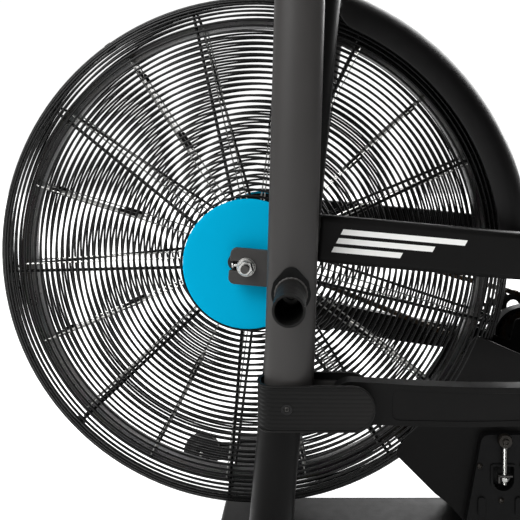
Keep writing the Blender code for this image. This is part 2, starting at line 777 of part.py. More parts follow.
def make_chain_cover():
    """A tray over the first chain stage, open towards the frame."""
    y_inner, y_outer = 0.0535, 0.0745
    wall = 0.0025
    cover = plate(
        "chain_cover", [belt_outline(MID, 0.042, CRANK, 0.0895, 14)],
        (y_inner + y_outer) / 2, y_outer - y_inner)
    hollow = plate(
        "cover_hollow", [belt_outline(MID, 0.042 - wall, CRANK, 0.0895 - wall, 14)],
        (y_inner + y_outer) / 2 - wall - 0.001, y_outer - y_inner + 0.002, CUTTERS)
    crank_hole = rod("cover_crank_hole", at(CRANK[0], 0.05, CRANK[1]), at(CRANK[0], 0.09, CRANK[1]),
                     0.014, 16, CUTTERS)
    mid_hole = rod("cover_mid_hole", at(MID[0], 0.05, MID[1]), at(MID[0], 0.09, MID[1]), 0.011, 12, CUTTERS)
    finish(cut(cover, hollow, crank_hole, mid_hole), "black_plastic")


def make_front_cover():
    """The plate at the foot of the near gusset, with a window for the chain's tension bolt."""
    y = -(GUSSET_Y + GUSSET_THICK / 2 + GAP + 0.006)
    top, foot = -0.236, -0.362
    outline = [(0.302, top), (0.362, top), (0.372, foot), (0.280, foot)]
    window = [(0.316, -0.277), (0.316, -0.296)]
    window += arc((0.330, -0.296), 0.014, math.pi, 2 * math.pi, 5)
    window += [(0.344, -0.296), (0.344, -0.277)]
    cover = plate("drive_front_cover", [outline, window], y, 0.012)
    finish(cover, "black_plastic")
    x, y = 0.330, y - 0.0115
    bolt = rod("chain_tensioner", at(x, y, -0.244), at(x, y, -0.2965), 0.0032, 12)
    eye = rod("tensioner_eye", at(x, y - 0.004, -0.241), at(x, y + 0.004, -0.241), 0.0095, 16, CUTTERS)
    tab = box("tensioner_tab", (0.018, 0.008, 0.003), at(x, y, -0.2865), 0, CUTTERS)
    finish(join(bolt, eye, tab), "steel")


def make_crank(side, sign):
    """A short inner arm to the link's pin and a long outer arm from there to the pedal."""
    phase = CRANK_PHASE + (0 if side == "left" else math.pi)
    pin = on_circle(CRANK, PIN_RADIUS, phase)
    pedal = on_circle(CRANK, CRANK_LENGTH, phase)
    inner = plate(f"crank_{side}", [belt_outline(CRANK, 0.021, pin, 0.016, 8)], sign * 0.184, 0.012)
    finish(inner, "steel")
    outer = plate(f"crank_outer_{side}", [belt_outline(pin, 0.018, pedal, 0.014, 8)], sign * 0.232, 0.012)
    spindle = rod(f"spindle_{side}", at(pedal[0], sign * 0.230, pedal[1]),
                  at(pedal[0], sign * 0.331, pedal[1]), 0.007, 14, CUTTERS)
    finish(join(outer, spindle), "frame_black")
    body = box(f"pedal_{side}", (0.096, 0.090, 0.024), at(pedal[0], sign * 0.290, pedal[1]))
    hole = rod(f"pedal_bore_{side}", at(pedal[0], sign * 0.240, pedal[1]),
               at(pedal[0], sign * 0.333, pedal[1]), 0.0075, 14, CUTTERS)
    cut(body, hole)
    finish(body, "rubber_black")


# Levers and links
HANDLE_ROUTE = (
    (0.0, 0.450), (0.0035, 0.500), (0.016, 0.545), (0.042, 0.585), (0.078, 0.620),
    (0.112, 0.653), (0.136, 0.692), (0.146, 0.735), (0.149, 0.790))


def handle_points(sign, start, end):
    base = lever_x(LEVER_KNEE)
    return [at(base + x, sign * LEVER_Y, z) for x, z in HANDLE_ROUTE[start:end]]


def make_levers():
    squash = LEVER_DEPTH / LEVER_WIDTH
    for side, sign in SIDES:
        y = sign * LEVER_Y
        lever = tube(f"lever_{side}", [
            at(lever_x(LEVER_FOOT), y, LEVER_FOOT), at(lever_x(LEVER_KNEE), y, LEVER_KNEE)],
            LEVER_WIDTH / 2, 3, squash=squash)
        handle = tube(f"handle_tube_{side}", handle_points(sign, 0, 9), HANDLE_RADIUS, 2, CUTTERS)
        handle.location.z -= 0.012
        peg = rod(f"peg_{side}", at(PIVOT[0], sign * 0.216, PIVOT[1]),
                  at(PIVOT[0], sign * PEG_END, PIVOT[1]), PEG_RADIUS, 16, CUTTERS)
        yokes = []
        for inner in (0.1935, 0.2225):
            yokes.append(plate(
                f"yoke_{side}_{inner}",
                [belt_outline((lever_x(LINK_PIVOT[1]), LINK_PIVOT[1]), 0.018, LINK_PIVOT, 0.015, 6)],
                sign * inner, 0.006, CUTTERS))
        pin = rod(f"yoke_pin_{side}", at(LINK_PIVOT[0], sign * 0.192, LINK_PIVOT[1]),
                  at(LINK_PIVOT[0], sign * 0.225, LINK_PIVOT[1]), 0.006, 12, CUTTERS)
        join(lever, handle, peg, *yokes, pin)
        peg_hole = rod(f"peg_hole_{side}", at(PIVOT[0], sign * 0.2270, PIVOT[1]),
                       at(PIVOT[0], sign * 0.320, PIVOT[1]), PEG_BORE, 16, CUTTERS)
        bore = rod(f"lever_bore_{side}", at(PIVOT[0], sign * 0.180, PIVOT[1]),
                   at(PIVOT[0], sign * 0.240, PIVOT[1]), 0.0085, 16, CUTTERS)
        finish(cut(lever, peg_hole, bore), "lever_charcoal")
        cover = make_lever_cover(side, sign)
        moving = [lever, handle, peg, *yokes, pin, peg_hole, bore, cover, *make_grip(side, sign)]
        stagger = LEVER_STAGGER if side == "right" else 0.0
        hang(f"lever_{side}_axis", at(PIVOT[0], 0, PIVOT[1]), moving, stagger)
        make_link(side, sign)


def make_grip(side, sign):
    top = handle_points(sign, 8, 9)[0]
    low = handle_points(sign, 6, 7)[0]
    knee = handle_points(sign, 7, 8)[0]
    grip = tube(f"grip_{side}", [low, knee, top + Vector((0, 0, 0.006))], GRIP_RADIUS, 3)
    core = tube(f"grip_core_{side}", [
        low - Vector((0.0057, 0, 0.0093)), low, knee, top + Vector((0, 0, 0.0003))],
        HANDLE_RADIUS + GAP, 2, CUTTERS)
    for piece in (grip, core):
        piece.location.z -= 0.012
    finish(cut(grip, core), "rubber_black")
    return grip, core


def make_lever_cover(side, sign):
    """A belt-like cover round the lever's foot: a near face, a far face and a curved front."""
    front, rear = 0.0195, 0.1435
    low, high = 0.1860, 0.2330
    wall = 0.003
    middle, half = (low + high) / 2, (high - low) / 2
    turn = arc((front + 0.016, 0), 1.0, math.pi / 2, 3 * math.pi / 2, 6)
    outer = [(rear, middle + half)]
    outer += [(front + 0.016 + (x - front - 0.016) * 0.016, middle + y * half) for x, y in turn]
    outer += [(rear, middle - half)]
    inner_half = half - wall
    inner = [(rear, middle - inner_half)]
    inner += [(front + 0.016 + (x - front - 0.016) * 0.013, middle + y * inner_half) for x, y in reversed(turn)]
    inner += [(rear, middle + inner_half)]
    outline = [(x, sign * y) for x, y in outer + inner]
    cover = slab(f"lever_cover_{side}", outline, -0.1308, 0.048)
    return finish(cover, "cover_plastic")


def make_link(side, sign):
    phase = CRANK_PHASE + (0 if side == "left" else math.pi)
    pin = on_circle(CRANK, PIN_RADIUS, phase)
    start = Vector(link_pivot(side))
    end = Vector(pin)
    sag = 0.012
    count = 8
    upper, lower = [], []
    for i in range(count + 1):
        share = i / count
        centre = start.lerp(end, share) - Vector((0, sag * math.sin(math.pi * share)))
        half = 0.0225 + (0.0175 - 0.0225) * share
        upper.append((centre.x, centre.y + half))
        lower.append((centre.x, centre.y - half))
    front_arc = arc(start, 0.0225, math.pi / 2, 3 * math.pi / 2, 6)[1:-1]
    rear_arc = arc(end, 0.0175, -math.pi / 2, math.pi / 2, 6)[1:-1]
    outline = lower + rear_arc + upper[::-1] + front_arc
    link = plate(f"link_bar_{side}", [outline, circle(start, 0.0065, 12)], sign * LEVER_Y, LINK_THICK)
    boss = rod(f"link_pin_{side}", at(end.x, sign * 0.1910, end.y), at(end.x, sign * 0.2250, end.y),
               0.013, 16, CUTTERS)
    finish(join(link, boss), "lever_charcoal")
    hang(f"link_{side}_axis", at(start.x, 0, start.y), [link, boss])


def link_pivot(side):
    """The lever's lower pin, which the stagger swings forward on the right."""
    if side == "left":
        return LINK_PIVOT
    x, z = LINK_PIVOT[0] - PIVOT[0], LINK_PIVOT[1] - PIVOT[1]
    cosine, sine = math.cos(LEVER_STAGGER), math.sin(LEVER_STAGGER)
    return PIVOT[0] + x * cosine + z * sine, PIVOT[1] + z * cosine - x * sine


# Console
def make_console():
    normal = Vector((math.sin(CONSOLE_TILT), 0, math.cos(CONSOLE_TILT)))
    centre = at(CONSOLE_AT[0], 0, CONSOLE_AT[1])
    console = box("console", (0.150, 0.215, 0.034), centre, CONSOLE_TILT)
    rounded(console, 0.010)
    finish(console, "black_plastic")
    down = Vector((math.cos(CONSOLE_TILT), 0, -math.sin(CONSOLE_TILT)))
    for name, y in (("console_button_start", -0.035), ("console_button_stop", 0.035)):
        face = centre + normal * 0.017 + down * 0.050 + Vector((0, y, 0))
        well = rod(f"{name}_well", face - normal * 0.0045, face + normal * 0.010, 0.0118, 20, CUTTERS)
        cut(console, well)
        button = rod(name, face - normal * 0.0020, face + normal * 0.0028, 0.0110, 20)
        finish(button, "rubber_black")


make_floor_frame()
make_masts()
make_support_bars()
make_gussets()
make_seat_tube()
make_cage()
make_shroud()
make_fan()
make_drive()
make_levers()
make_console()
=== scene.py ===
"""Looks for the air bike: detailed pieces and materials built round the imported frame.

The bike faces -X, Z is up and the rider's left is at -Y. Sizes are in metres, and at(x, y, z)
is measured from the fan's axis. Each piece rides on the body that its CAD node belongs to.
"""
import json
import math

import bmesh
import bpy
from mathutils import Matrix, Vector, noise


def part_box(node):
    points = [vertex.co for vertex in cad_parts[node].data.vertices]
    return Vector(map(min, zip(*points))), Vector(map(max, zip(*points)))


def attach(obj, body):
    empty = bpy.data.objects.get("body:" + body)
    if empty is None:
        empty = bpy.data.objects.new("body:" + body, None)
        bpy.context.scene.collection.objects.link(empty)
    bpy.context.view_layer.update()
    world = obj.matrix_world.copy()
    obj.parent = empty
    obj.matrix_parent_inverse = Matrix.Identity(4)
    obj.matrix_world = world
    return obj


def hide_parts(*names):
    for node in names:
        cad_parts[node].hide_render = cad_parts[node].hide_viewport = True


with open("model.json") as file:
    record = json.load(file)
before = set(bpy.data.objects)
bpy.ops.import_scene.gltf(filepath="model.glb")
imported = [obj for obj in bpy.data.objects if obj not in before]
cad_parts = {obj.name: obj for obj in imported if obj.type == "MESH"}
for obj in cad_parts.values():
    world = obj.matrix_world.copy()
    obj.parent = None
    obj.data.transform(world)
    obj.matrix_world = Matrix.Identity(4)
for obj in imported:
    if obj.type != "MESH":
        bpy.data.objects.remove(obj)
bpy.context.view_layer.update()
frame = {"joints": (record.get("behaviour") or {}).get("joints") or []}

JOINTS = {joint["name"]: joint for joint in frame["joints"]}
SIDES = (("left", -1), ("right", 1))
ACROSS = Vector((0, 1, 0))
UP = Vector((0, 0, 1))


def mm(*sizes):
    """Pairs of sizes, given one after another in millimetres."""
    return [(first / 1000, second / 1000) for first, second in zip(sizes[::2], sizes[1::2])]


# Places taken from the frame
def low(node):
    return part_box(node)[0]


def high(node):
    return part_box(node)[1]


def middle(node):
    return (low(node) + high(node)) / 2


def pivot(joint):
    return Vector(JOINTS[joint]["pos_m"])


FAN = pivot("fan_spin")


def at(x, y, z):
    return Vector((FAN.x + x, y, FAN.z + z))


def beside_fan(centre):
    """The place on the middle plane of an (x, z) pair measured from the fan's axis."""
    return at(centre[0], 0, centre[1])


def from_fan(place):
    """An (x, z) pair measured from the fan's axis."""
    return place.x - FAN.x, place.z - FAN.z


PIVOT = from_fan(pivot("lever_left_swing"))
LEVER_Y = abs(pivot("lever_left_swing").y)
LINK_PIVOTS = {side: from_fan(pivot(f"link_{side}_pivot")) for side, _ in SIDES}
CRANK = from_fan(pivot("crank_spin"))
MID = from_fan(pivot("middle_shaft_spin"))
PEDALS = {side: from_fan(pivot(f"pedal_{side}_spin")) for side, _ in SIDES}
CAGE_RADIUS = (high("cage_left").x - low("cage_left").x) / 2
DISC_RADIUS = (high("hub_disc_left").x - low("hub_disc_left").x) / 2
DISC_Y = abs(middle("hub_disc_left").y)

# Sizes that follow the CAD model
MAST_LEAN = math.radians(5.2)
MAST_RADIUS = 0.025
MAST_Y = 0.1595
MAST_TOP = 0.430
LUG_Y = 0.133
LUG_THICK = 0.008
BAR_FRONT = (0.0880, 0.0368)
BAR_BEND_X = 0.300
BAR_REAR = 0.632
BAR_THICK = 0.024
BAR_HEIGHT = 0.054
SEAT_HALF = 0.0255
GUSSET_Y = 0.038
GUSSET_THICK = 0.005
LEVER_LEAN = math.radians(1.63)
LEVER_WIDTH = 0.053
LEVER_DEPTH = 0.036
PEG_RADIUS = 0.0155
PEG_BORE = 0.013
PEG_END = 0.303
SHOULDER = (0.303, 0.043)
HUB_DEPTH = 0.110
BLADE_PHASE = math.radians(2.7)
SPOKE_PHASE = math.radians(24.0)
CHAIN_PITCH = 0.0127
FAN_CHAIN_Y = 0.122
DRIVE_CHAIN_Y = 0.062
FAN_TEETH, MID_LARGE_TEETH, MID_SMALL_TEETH, CRANK_TEETH = 14, 25, 14, 38
INNER_ARM_Y = 0.184
OUTER_ARM_Y = 0.232
CRANK_ARM_THICK = 0.012
PEDAL_Y = 0.290
BRIDGE_Z = 0.405
LEVER_FACE_Y = 0.2275
PIN_RADIUS = 0.038
SEAT_LEAN = math.radians(9.2)


def mast_x(z):
    return PIVOT[0] + (z - PIVOT[1]) * math.tan(MAST_LEAN)


def lever_x(z):
    return PIVOT[0] + (z - PIVOT[1]) * math.tan(LEVER_LEAN)


def bar_centre(x):
    return BAR_FRONT[1] - (x - BAR_FRONT[0]) * math.tan(MAST_LEAN)


# Materials
def add_node(tree, kind, inputs=(), **settings):
    """A node with its settings and inputs; an input that is a socket is linked."""
    made = tree.nodes.new(kind)
    for name, value in settings.items():
        setattr(made, name, value)
    for name, value in dict(inputs).items():
        if isinstance(value, bpy.types.NodeSocket):
            tree.links.new(value, made.inputs[name])
        else:
            made.inputs[name].default_value = value
    return made


def mix_colours(tree, factor, first, second):
    made = add_node(tree, "ShaderNodeMix", data_type="RGBA")
    for index, value in ((0, factor), (6, first), (7, second)):
        if isinstance(value, bpy.types.NodeSocket):
            tree.links.new(value, made.inputs[index])
        else:
            made.inputs[index].default_value = value
    return made.outputs[2]


def ranged(tree, value, start, end, low_end, high_end):
    made = add_node(tree, "ShaderNodeMapRange", {
        "Value": value, "From Min": start, "From Max": end, "To Min": low_end, "To Max": high_end})
    return made.outputs["Result"]


def shade(colour, share):
    return (*(min(1.0, channel * share) for channel in colour), 1.0)


def noise_node(tree, where, scale, detail=2.0):
    return add_node(tree, "ShaderNodeTexNoise", {"Vector": where, "Scale": scale, "Detail": detail})


def surface(name, colour, roughness, metallic=0.0, mottle=0.12, mottle_scale=14.0, spread=0.05,
            grain=0.0001, grain_scale=1400.0, cells=False, edge_wear_and_highlight=None, stretch=None, specular=0.5):
    """A surface with drifting colour and gloss, a fine grain and, where asked, lighter edges: partly rubbed
    wear, partly a painted highlight.
    """
    made = bpy.data.materials.new(name)
    made.use_nodes = True
    tree = made.node_tree
    shader = tree.nodes["Principled BSDF"]
    where = add_node(tree, "ShaderNodeTexCoord").outputs["Object"]
    broad = noise_node(tree, where, mottle_scale, 4.0).outputs["Fac"]
    tint = mix_colours(tree, broad, shade(colour, 1 - mottle), shade(colour, 1 + mottle))
    # Where asked, edges are mixed towards a lighter colour by pointiness: partly rubbed wear, partly a
    # painted highlight along the edges.
    if edge_wear_and_highlight:
        edge = add_node(tree, "ShaderNodeNewGeometry").outputs["Pointiness"]
        tint = mix_colours(tree, ranged(tree, edge, 0.53, 0.62, 0.0, 0.5), tint, (*edge_wear_and_highlight, 1.0))
    tree.links.new(tint, shader.inputs["Base Color"])
    if stretch:
        where = add_node(tree, "ShaderNodeMapping", {"Vector": where, "Scale": stretch}).outputs["Vector"]
    patches = noise_node(tree, where, mottle_scale * 6, 3.0).outputs["Fac"]
    tree.links.new(ranged(tree, patches, 0.3, 0.7, roughness - spread, roughness + spread),
                   shader.inputs["Roughness"])
    if cells:
        height = add_node(tree, "ShaderNodeTexVoronoi", {"Vector": where, "Scale": grain_scale})
        height = height.outputs["Distance"]
    else:
        height = noise_node(tree, where, grain_scale).outputs["Fac"]
    bump = add_node(tree, "ShaderNodeBump", {"Height": height, "Distance": grain, "Strength": 0.6})
    tree.links.new(bump.outputs["Normal"], shader.inputs["Normal"])
    shader.inputs["Metallic"].default_value = metallic
    shader.inputs["Specular IOR Level"].default_value = specular
    return made


def oiled_chain():
    """Dark steel with brown oil in patches."""
    made = surface("chain_links", (0.06, 0.052, 0.044), 0.38, 0.9, spread=0.12, grain_scale=700.0)
    tree = made.node_tree
    where = add_node(tree, "ShaderNodeTexCoord").outputs["Object"]
    oil = noise_node(tree, where, 90.0, 3.0).outputs["Fac"]
    tint = mix_colours(tree, ranged(tree, oil, 0.42, 0.6, 0.0, 1.0), (0.06, 0.054, 0.048, 1),
                       (0.075, 0.042, 0.018, 1))
    tree.links.new(tint, tree.nodes["Principled BSDF"].inputs["Base Color"])
    return made


FAN_DARK = (0.0075, 0.0063, 0.0055, 1.0)


def galvanised():
    """Dull sheet metal with the flaky spangle of zinc."""
    made = surface("fan_sheet", FAN_DARK[:3], 0.30, 0.5, spread=0.04, grain=0.00001, specular=0.3)
    tree = made.node_tree
    where = add_node(tree, "ShaderNodeTexCoord").outputs["Object"]
    flakes = add_node(tree, "ShaderNodeTexVoronoi", {"Vector": where, "Scale": 45.0}).outputs["Color"]
    tint = mix_colours(tree, 0.05, FAN_DARK, flakes)
    tint = mix_colours(tree, 0.80, tint, FAN_DARK)
    tree.links.new(tint, tree.nodes["Principled BSDF"].inputs["Base Color"])
    return made


def stitched_vinyl():
    """Grained vinyl with a soft sheen."""
    made = surface("saddle_cover", (0.020, 0.020, 0.021), 0.52, mottle=0.2, grain=0.0004,
                   grain_scale=420.0, cells=True, spread=0.08)
    made.node_tree.nodes["Principled BSDF"].inputs["Sheen Weight"].default_value = 0.15
    return made


# Each look: its material and the record's slot that it belongs to
LOOKS = {
    # The frame, lever and cover get lighter edges: partly rubbed wear, partly a painted highlight.
    "frame": (surface("frame_coat", (0.0048, 0.0047, 0.0046), 0.40, specular=0.09,
                      edge_wear_and_highlight=(0.04, 0.038, 0.036)), "frame_paint"),
    "lever": (surface("lever_coat", (0.0375, 0.0355, 0.0343), 0.42, specular=0.28,
                      edge_wear_and_highlight=(0.10, 0.095, 0.09)), "lever_paint"),
    "plastic": (surface("moulded_black", (0.0045, 0.0045, 0.0046), 0.48, grain=0.00015, cells=True,
                        grain_scale=1600.0, specular=0.11), "black_plastic"),
    "gloss_plastic": (surface("shroud_black", (0.0022, 0.0020, 0.0021), 0.38, spread=0.03,
                              grain=0.00003, grain_scale=500.0, specular=0.30), "black_plastic"),
    "cover": (surface("cover_grey", (0.0050, 0.0050, 0.0049), 0.44, grain=0.00010, cells=True,
                      grain_scale=1500.0, specular=0.11, edge_wear_and_highlight=(0.026, 0.025, 0.024)), "cover_plastic"),
    "wire": (surface("wire_coat", (0.0020, 0.0020, 0.0020), 0.30, spread=0.04, grain=0.00003,
                     specular=0.28), "wire_black"),
    "blue": (surface("disc_coat", (0.0, 0.376, 0.632), 0.55, mottle=0.03, mottle_scale=5.0,
                     grain=0.00004, grain_scale=700.0, specular=0.02), "disc_blue"),
    "fan": (galvanised(), "fan_metal"),
    "vane": (surface("vane_sheet", (0.30, 0.295, 0.285), 0.40, 0.85, spread=0.12, mottle=0.25),
             "fan_metal"),
    "zinc": (surface("zinc_plate", (0.60, 0.60, 0.58), 0.28, 1.0, spread=0.08, mottle=0.06,
                     mottle_scale=60.0, grain=0.00004, stretch=(1.0, 1.0, 8.0)), "steel"),
    "chrome": (surface("chromed_post", (0.30, 0.30, 0.31), 0.22, 1.0, spread=0.05, mottle=0.04,
                       grain=0.00002, stretch=(1.0, 1.0, 0.1)), "steel"),
    "dark_steel": (surface("blackened_steel", (0.07, 0.068, 0.065), 0.36, 0.9, spread=0.1), "steel"),
    "oxide": (surface("oiled_bolt", (0.020, 0.017, 0.014), 0.34, 0.6, spread=0.1, mottle=0.4,
                      mottle_scale=80.0), "steel"),
    "chain": (oiled_chain(), "chain_steel"),
    "rubber": (surface("black_rubber", (0.014, 0.014, 0.014), 0.78, mottle=0.2, grain=0.0002,
                       grain_scale=900.0, specular=0.3), "rubber_black"),
    "vinyl": (stitched_vinyl(), "saddle_vinyl"),
    "thread": (surface("saddle_thread", (0.10, 0.10, 0.10), 0.8, grain_scale=3000.0), "saddle_vinyl"),
    "white": (surface("printed_white", (0.80, 0.80, 0.78), 0.45, mottle=0.02, grain=0.00003),
              "frame_paint"),
    "screen": (surface("screen_glass", (0.030, 0.036, 0.034), 0.12, spread=0.03, grain=0.00001),
               "black_plastic"),
    "segments": (surface("screen_marks", (0.30, 0.34, 0.30), 0.5, mottle=0.05), "black_plastic"),
    "pale": (surface("pale_print", (0.45, 0.46, 0.46), 0.5, mottle=0.05), "black_plastic"),
    "green": (surface("button_green", (0.02, 0.22, 0.05), 0.6, mottle=0.1), "rubber_black"),
    "red": (surface("button_red", (0.30, 0.015, 0.015), 0.6, mottle=0.1), "rubber_black"),
}


def move(place):
    return Matrix.Translation(place)


def spin(angle, axis):
    return Matrix.Rotation(angle, 4, axis)


# Mesh kit: shapes are added to the pen until closed_mesh() or piece() makes a mesh of them
PEN = bmesh.new()


def closed_mesh(name):
    """A mesh of all that the pen holds; the pen is empty afterwards."""
    mesh = bpy.data.meshes.new(name)
    PEN.to_mesh(mesh)
    PEN.clear()
    return mesh


def turns(count, start=0.0):
    return [start + 2 * math.pi * i / count for i in range(count)]


def arc(centre, radius, start, end, steps):
    """(x, z) points along an arc, angles in radians."""
    return [(centre[0] + radius * math.cos(start + (end - start) * i / steps),
             centre[1] + radius * math.sin(start + (end - start) * i / steps)) for i in range(steps + 1)]


def circle(centre, radius, steps=32):
    return arc(centre, radius, 0, 2 * math.pi, steps)[:-1]


def on_circle(centre, radius, angle):
    return centre[0] + radius * math.cos(angle), centre[1] + radius * math.sin(angle)


def axes(along):
    """The axis as a unit vector, and two more at right angles to it."""
    axis = Vector(along).normalized()
    u = axis.orthogonal().normalized()
    return axis, u, axis.cross(u)


def ring_points(centre, u, v, size_u, size_v, sides):
    return [centre + u * (size_u * math.cos(a)) + v * (size_v * math.sin(a)) for a in turns(sides)]


def ring_at(*sizes):
    return [PEN.verts.new(point) for point in ring_points(*sizes)]


def bridge(first, second):
    """Faces between two rings; a ring of one point makes a fan."""
    count = max(len(first), len(second))
    if count == 1:
        return
    for i in range(count):
        j = (i + 1) % count
        if len(first) == 1:
            PEN.faces.new((first[0], second[i], second[j]))
        elif len(second) == 1:
            PEN.faces.new((first[i], second[0], first[j]))
        else:
            PEN.faces.new((first[i], second[i], second[j], first[j]))


def strip(first, second):
    """Faces between two open rows."""
    for j in range(len(first) - 1):
        PEN.faces.new((first[j], first[j + 1], second[j + 1], second[j]))


def tube(path, radius, sides=12, closed=False, up=ACROSS, flat=1.0):
    """Sweeps a round section along path; flat scales it towards up."""
    count = len(path)
    radii = radius if isinstance(radius, list) else [radius] * count
    side = Vector(up)
    rings = []
    for i, (point, size) in enumerate(zip(path, radii)):
        before = path[i - 1] if i or closed else point
        after = path[(i + 1) % count] if i + 1 < count or closed else point
        along = (after - before).normalized()
        side = (side - along * side.dot(along)).normalized()
        rings.append(ring_at(point, side, along.cross(side), size * flat, size, sides))
    for i in range(count if closed else count - 1):
        bridge(rings[i], rings[(i + 1) % count])
    if not closed:
        PEN.faces.new(rings[0])
        PEN.faces.new(rings[-1])


def round_ended(path, radius, fillet, steps=4):
    """The path and radii of a bar whose ends curve in over a fillet."""
    def end(tip, inward):
        places, sizes = [], []
        for i in range(steps + 1):
            turn = math.pi / 2 * i / steps
            places.append(tip + inward * fillet * (1 - math.cos(turn)))
            sizes.append(radius - fillet + fillet * math.sin(turn))
        return places, sizes
    head, head_sizes = end(path[0], (path[1] - path[0]).normalized())
    tail, tail_sizes = end(path[-1], (path[-2] - path[-1]).normalized())
    inner = path[1:-1]
    return head + inner + tail[::-1], head_sizes + [radius] * len(inner) + tail_sizes[::-1]


def smooth_path(points, steps=6):
    """A Catmull-Rom curve through points."""
    made = []
    padded = [points[0] * 2 - points[1]] + list(points) + [points[-1] * 2 - points[-2]]
    for a, b, c, d in zip(padded, padded[1:], padded[2:], padded[3:]):
        for i in range(steps):
            t = i / steps
            made.append(0.5 * (2 * b + (c - a) * t + (2 * a - 5 * b + 4 * c - d) * t * t
                               + (3 * b - a - 3 * c + d) * t ** 3))
    return made + [points[-1]]


def lathe(origin, axis, profile, steps=48):
    """Turns a closed profile of (radius, along) points about an axis through origin."""
    axis, u, v = axes(axis)
    rings = []
    for radius, along in profile:
        centre = origin + axis * along
        if radius < 1e-6:
            rings.append([PEN.verts.new(centre)])
        else:
            rings.append(ring_at(centre, u, v, radius, radius, steps))
    for first, second in zip(rings, rings[1:] + rings[:1]):
        bridge(first, second)


def drum(radius, start, end, fillet, steps=3):
    """The profile of a solid disc or bar with rounded rims."""
    rise = [math.pi / 2 * i / steps for i in range(steps + 1)]
    lower = [(radius - fillet + fillet * math.sin(t), start + fillet * (1 - math.cos(t))) for t in rise]
    upper = [(r, end - (along - start)) for r, along in reversed(lower)]
    return [(0.0, start)] + lower + upper + [(0.0, end)]


def collar(outer, inner, start, end, fillet, steps=3):
    """The profile of a ring with rounded outer rims."""
    return [(inner, start)] + drum(outer, start, end, fillet, steps)[1:-1] + [(inner, end)]


def mirrored(profile):
    """A profile followed by its own mirror image across the middle."""
    return profile + [(radius, -along) for radius, along in reversed(profile)]


def upright(y):
    """Stands a flat outline up in the XZ plane at y, measured from the fan's axis."""
    return move(at(0, y, 0)) @ spin(math.pi / 2, "X")


def flat(outlines, thickness, place):
    """A flat plate from closed outlines; the inner ones are holes."""
    curve = bpy.data.curves.new("outline", "CURVE")
    curve.dimensions = "2D"
    for outline in outlines:
        spline = curve.splines.new("POLY")
        spline.points.add(len(outline) - 1)
        for point, (x, y) in zip(spline.points, outline):
            point.co = (x, y, 0, 1)
        spline.use_cyclic_u = True
    curve.fill_mode = "BOTH"
    curve.extrude = thickness / 2
    holder = bpy.data.objects.new("outline", curve)
    bpy.context.scene.collection.objects.link(holder)
    bpy.context.view_layer.update()
    mesh = bpy.data.meshes.new_from_object(holder.evaluated_get(bpy.context.evaluated_depsgraph_get()))
    bpy.data.objects.remove(holder)
    bpy.data.curves.remove(curve)
    plate = bmesh.new()
    plate.from_mesh(mesh)
    bmesh.ops.remove_doubles(plate, verts=plate.verts, dist=0.00001)
    bmesh.ops.dissolve_limit(plate, angle_limit=math.radians(1), verts=plate.verts, edges=plate.edges)
    plate.to_mesh(mesh)
    plate.free()
    mesh.transform(place)
    PEN.from_mesh(mesh)
    bpy.data.meshes.remove(mesh)


def plate(outlines, y, thickness):
    flat(outlines, thickness, upright(y))


def block(size, place):
    matrix = place if isinstance(place, Matrix) else move(place)
    bmesh.ops.create_cube(PEN, size=1.0, matrix=matrix @ Matrix.Diagonal((*size, 1.0)))


def bolt(place, axis, radius, height, sides=6):
    """A bolt head with a washer under it and a domed, chamfered top."""
    lathe(place, axis, drum(radius * 1.35, 0.0, height * 0.22, height * 0.08), 28)
    lathe(place, axis, [
        (0.0, height * 0.2), (radius, height * 0.2), (radius, height * 0.82), (radius * 0.86, height),
        (radius * 0.5, height), (radius * 0.42, height * 0.7), (0.0, height * 0.7)], sides)


def screw(place, axis, radius):
    """A domed screw head with a round recess in its top, in a shallow rim."""
    lathe(place, axis, [
        (0.0, -0.001), (radius, -0.001), (radius, 0.0006), (radius * 0.8, 0.0022), (radius * 0.45, 0.0030),
        (radius * 0.40, 0.0018), (0.0, 0.0012)], 24)


def weld(path, radius, closed=True):
    """A rippled bead along path."""
    sizes = [radius * (1 + 0.16 * math.sin(i * 1.9) + 0.10 * noise.noise(point * 300))
             for i, point in enumerate(path)]
    tube(path, sizes, 8, closed)


def weld_ring(centre, axis, radius, count=60):
    return ring_points(centre, *axes(axis)[1:], radius, radius, count)


def stagger(side):
    """How far this side's lever is turned from the left one's place at rest."""
    headings = []
    for name in ("left", side):
        x, z = LINK_PIVOTS[name]
        headings.append(math.atan2(z - PIVOT[1], x - PIVOT[0]))
    return headings[0] - headings[1]


def about_pivot(side):
    place = beside_fan(PIVOT)
    return move(place) @ spin(stagger(side), "Y") @ move(-place)


TURNED_BODIES = {f"lever_{side}_body": about_pivot(side) for side, _ in SIDES}


def piece(name, look, body, *nodes, angle=35, soften=0.0, segments=3, turned=None):
    """Makes an object of what the pen holds, which rides on body and stands for nodes.

    A lever's pieces are modelled at the left lever's place, and turned to their own side's.
    """
    bmesh.ops.recalc_face_normals(PEN, faces=PEN.faces)
    turned = TURNED_BODIES.get(body, turned)
    if turned:
        bmesh.ops.transform(PEN, matrix=turned, verts=PEN.verts)
    mesh = closed_mesh(name)
    made = bpy.data.objects.new(name, mesh)
    bpy.context.scene.collection.objects.link(made)
    finish, slot = LOOKS[look]
    mesh.materials.append(finish)
    mesh.shade_smooth()
    mesh.set_sharp_from_angle(angle=math.radians(angle))
    if soften:
        bevel = made.modifiers.new("soften", "BEVEL")
        bevel.width = soften
        bevel.segments = segments
        bevel.limit_method = "ANGLE"
        bevel.angle_limit = math.radians(angle)
        bevel.harden_normals = True
    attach(made, body)
    if nodes:
        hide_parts(*nodes)
    return made


# Fan and cage
def cage_depth(radius):
    """How far the cage's face stands out from the middle plane at this radius."""
    if radius <= SHOULDER[0]:
        share = (radius - DISC_RADIUS) / (SHOULDER[0] - DISC_RADIUS)
        return HUB_DEPTH + (SHOULDER[1] - HUB_DEPTH) * share
    share = (radius - SHOULDER[0]) / (CAGE_RADIUS - SHOULDER[0])
    return SHOULDER[1] * math.sqrt(max(0.0, 1 - share * share))


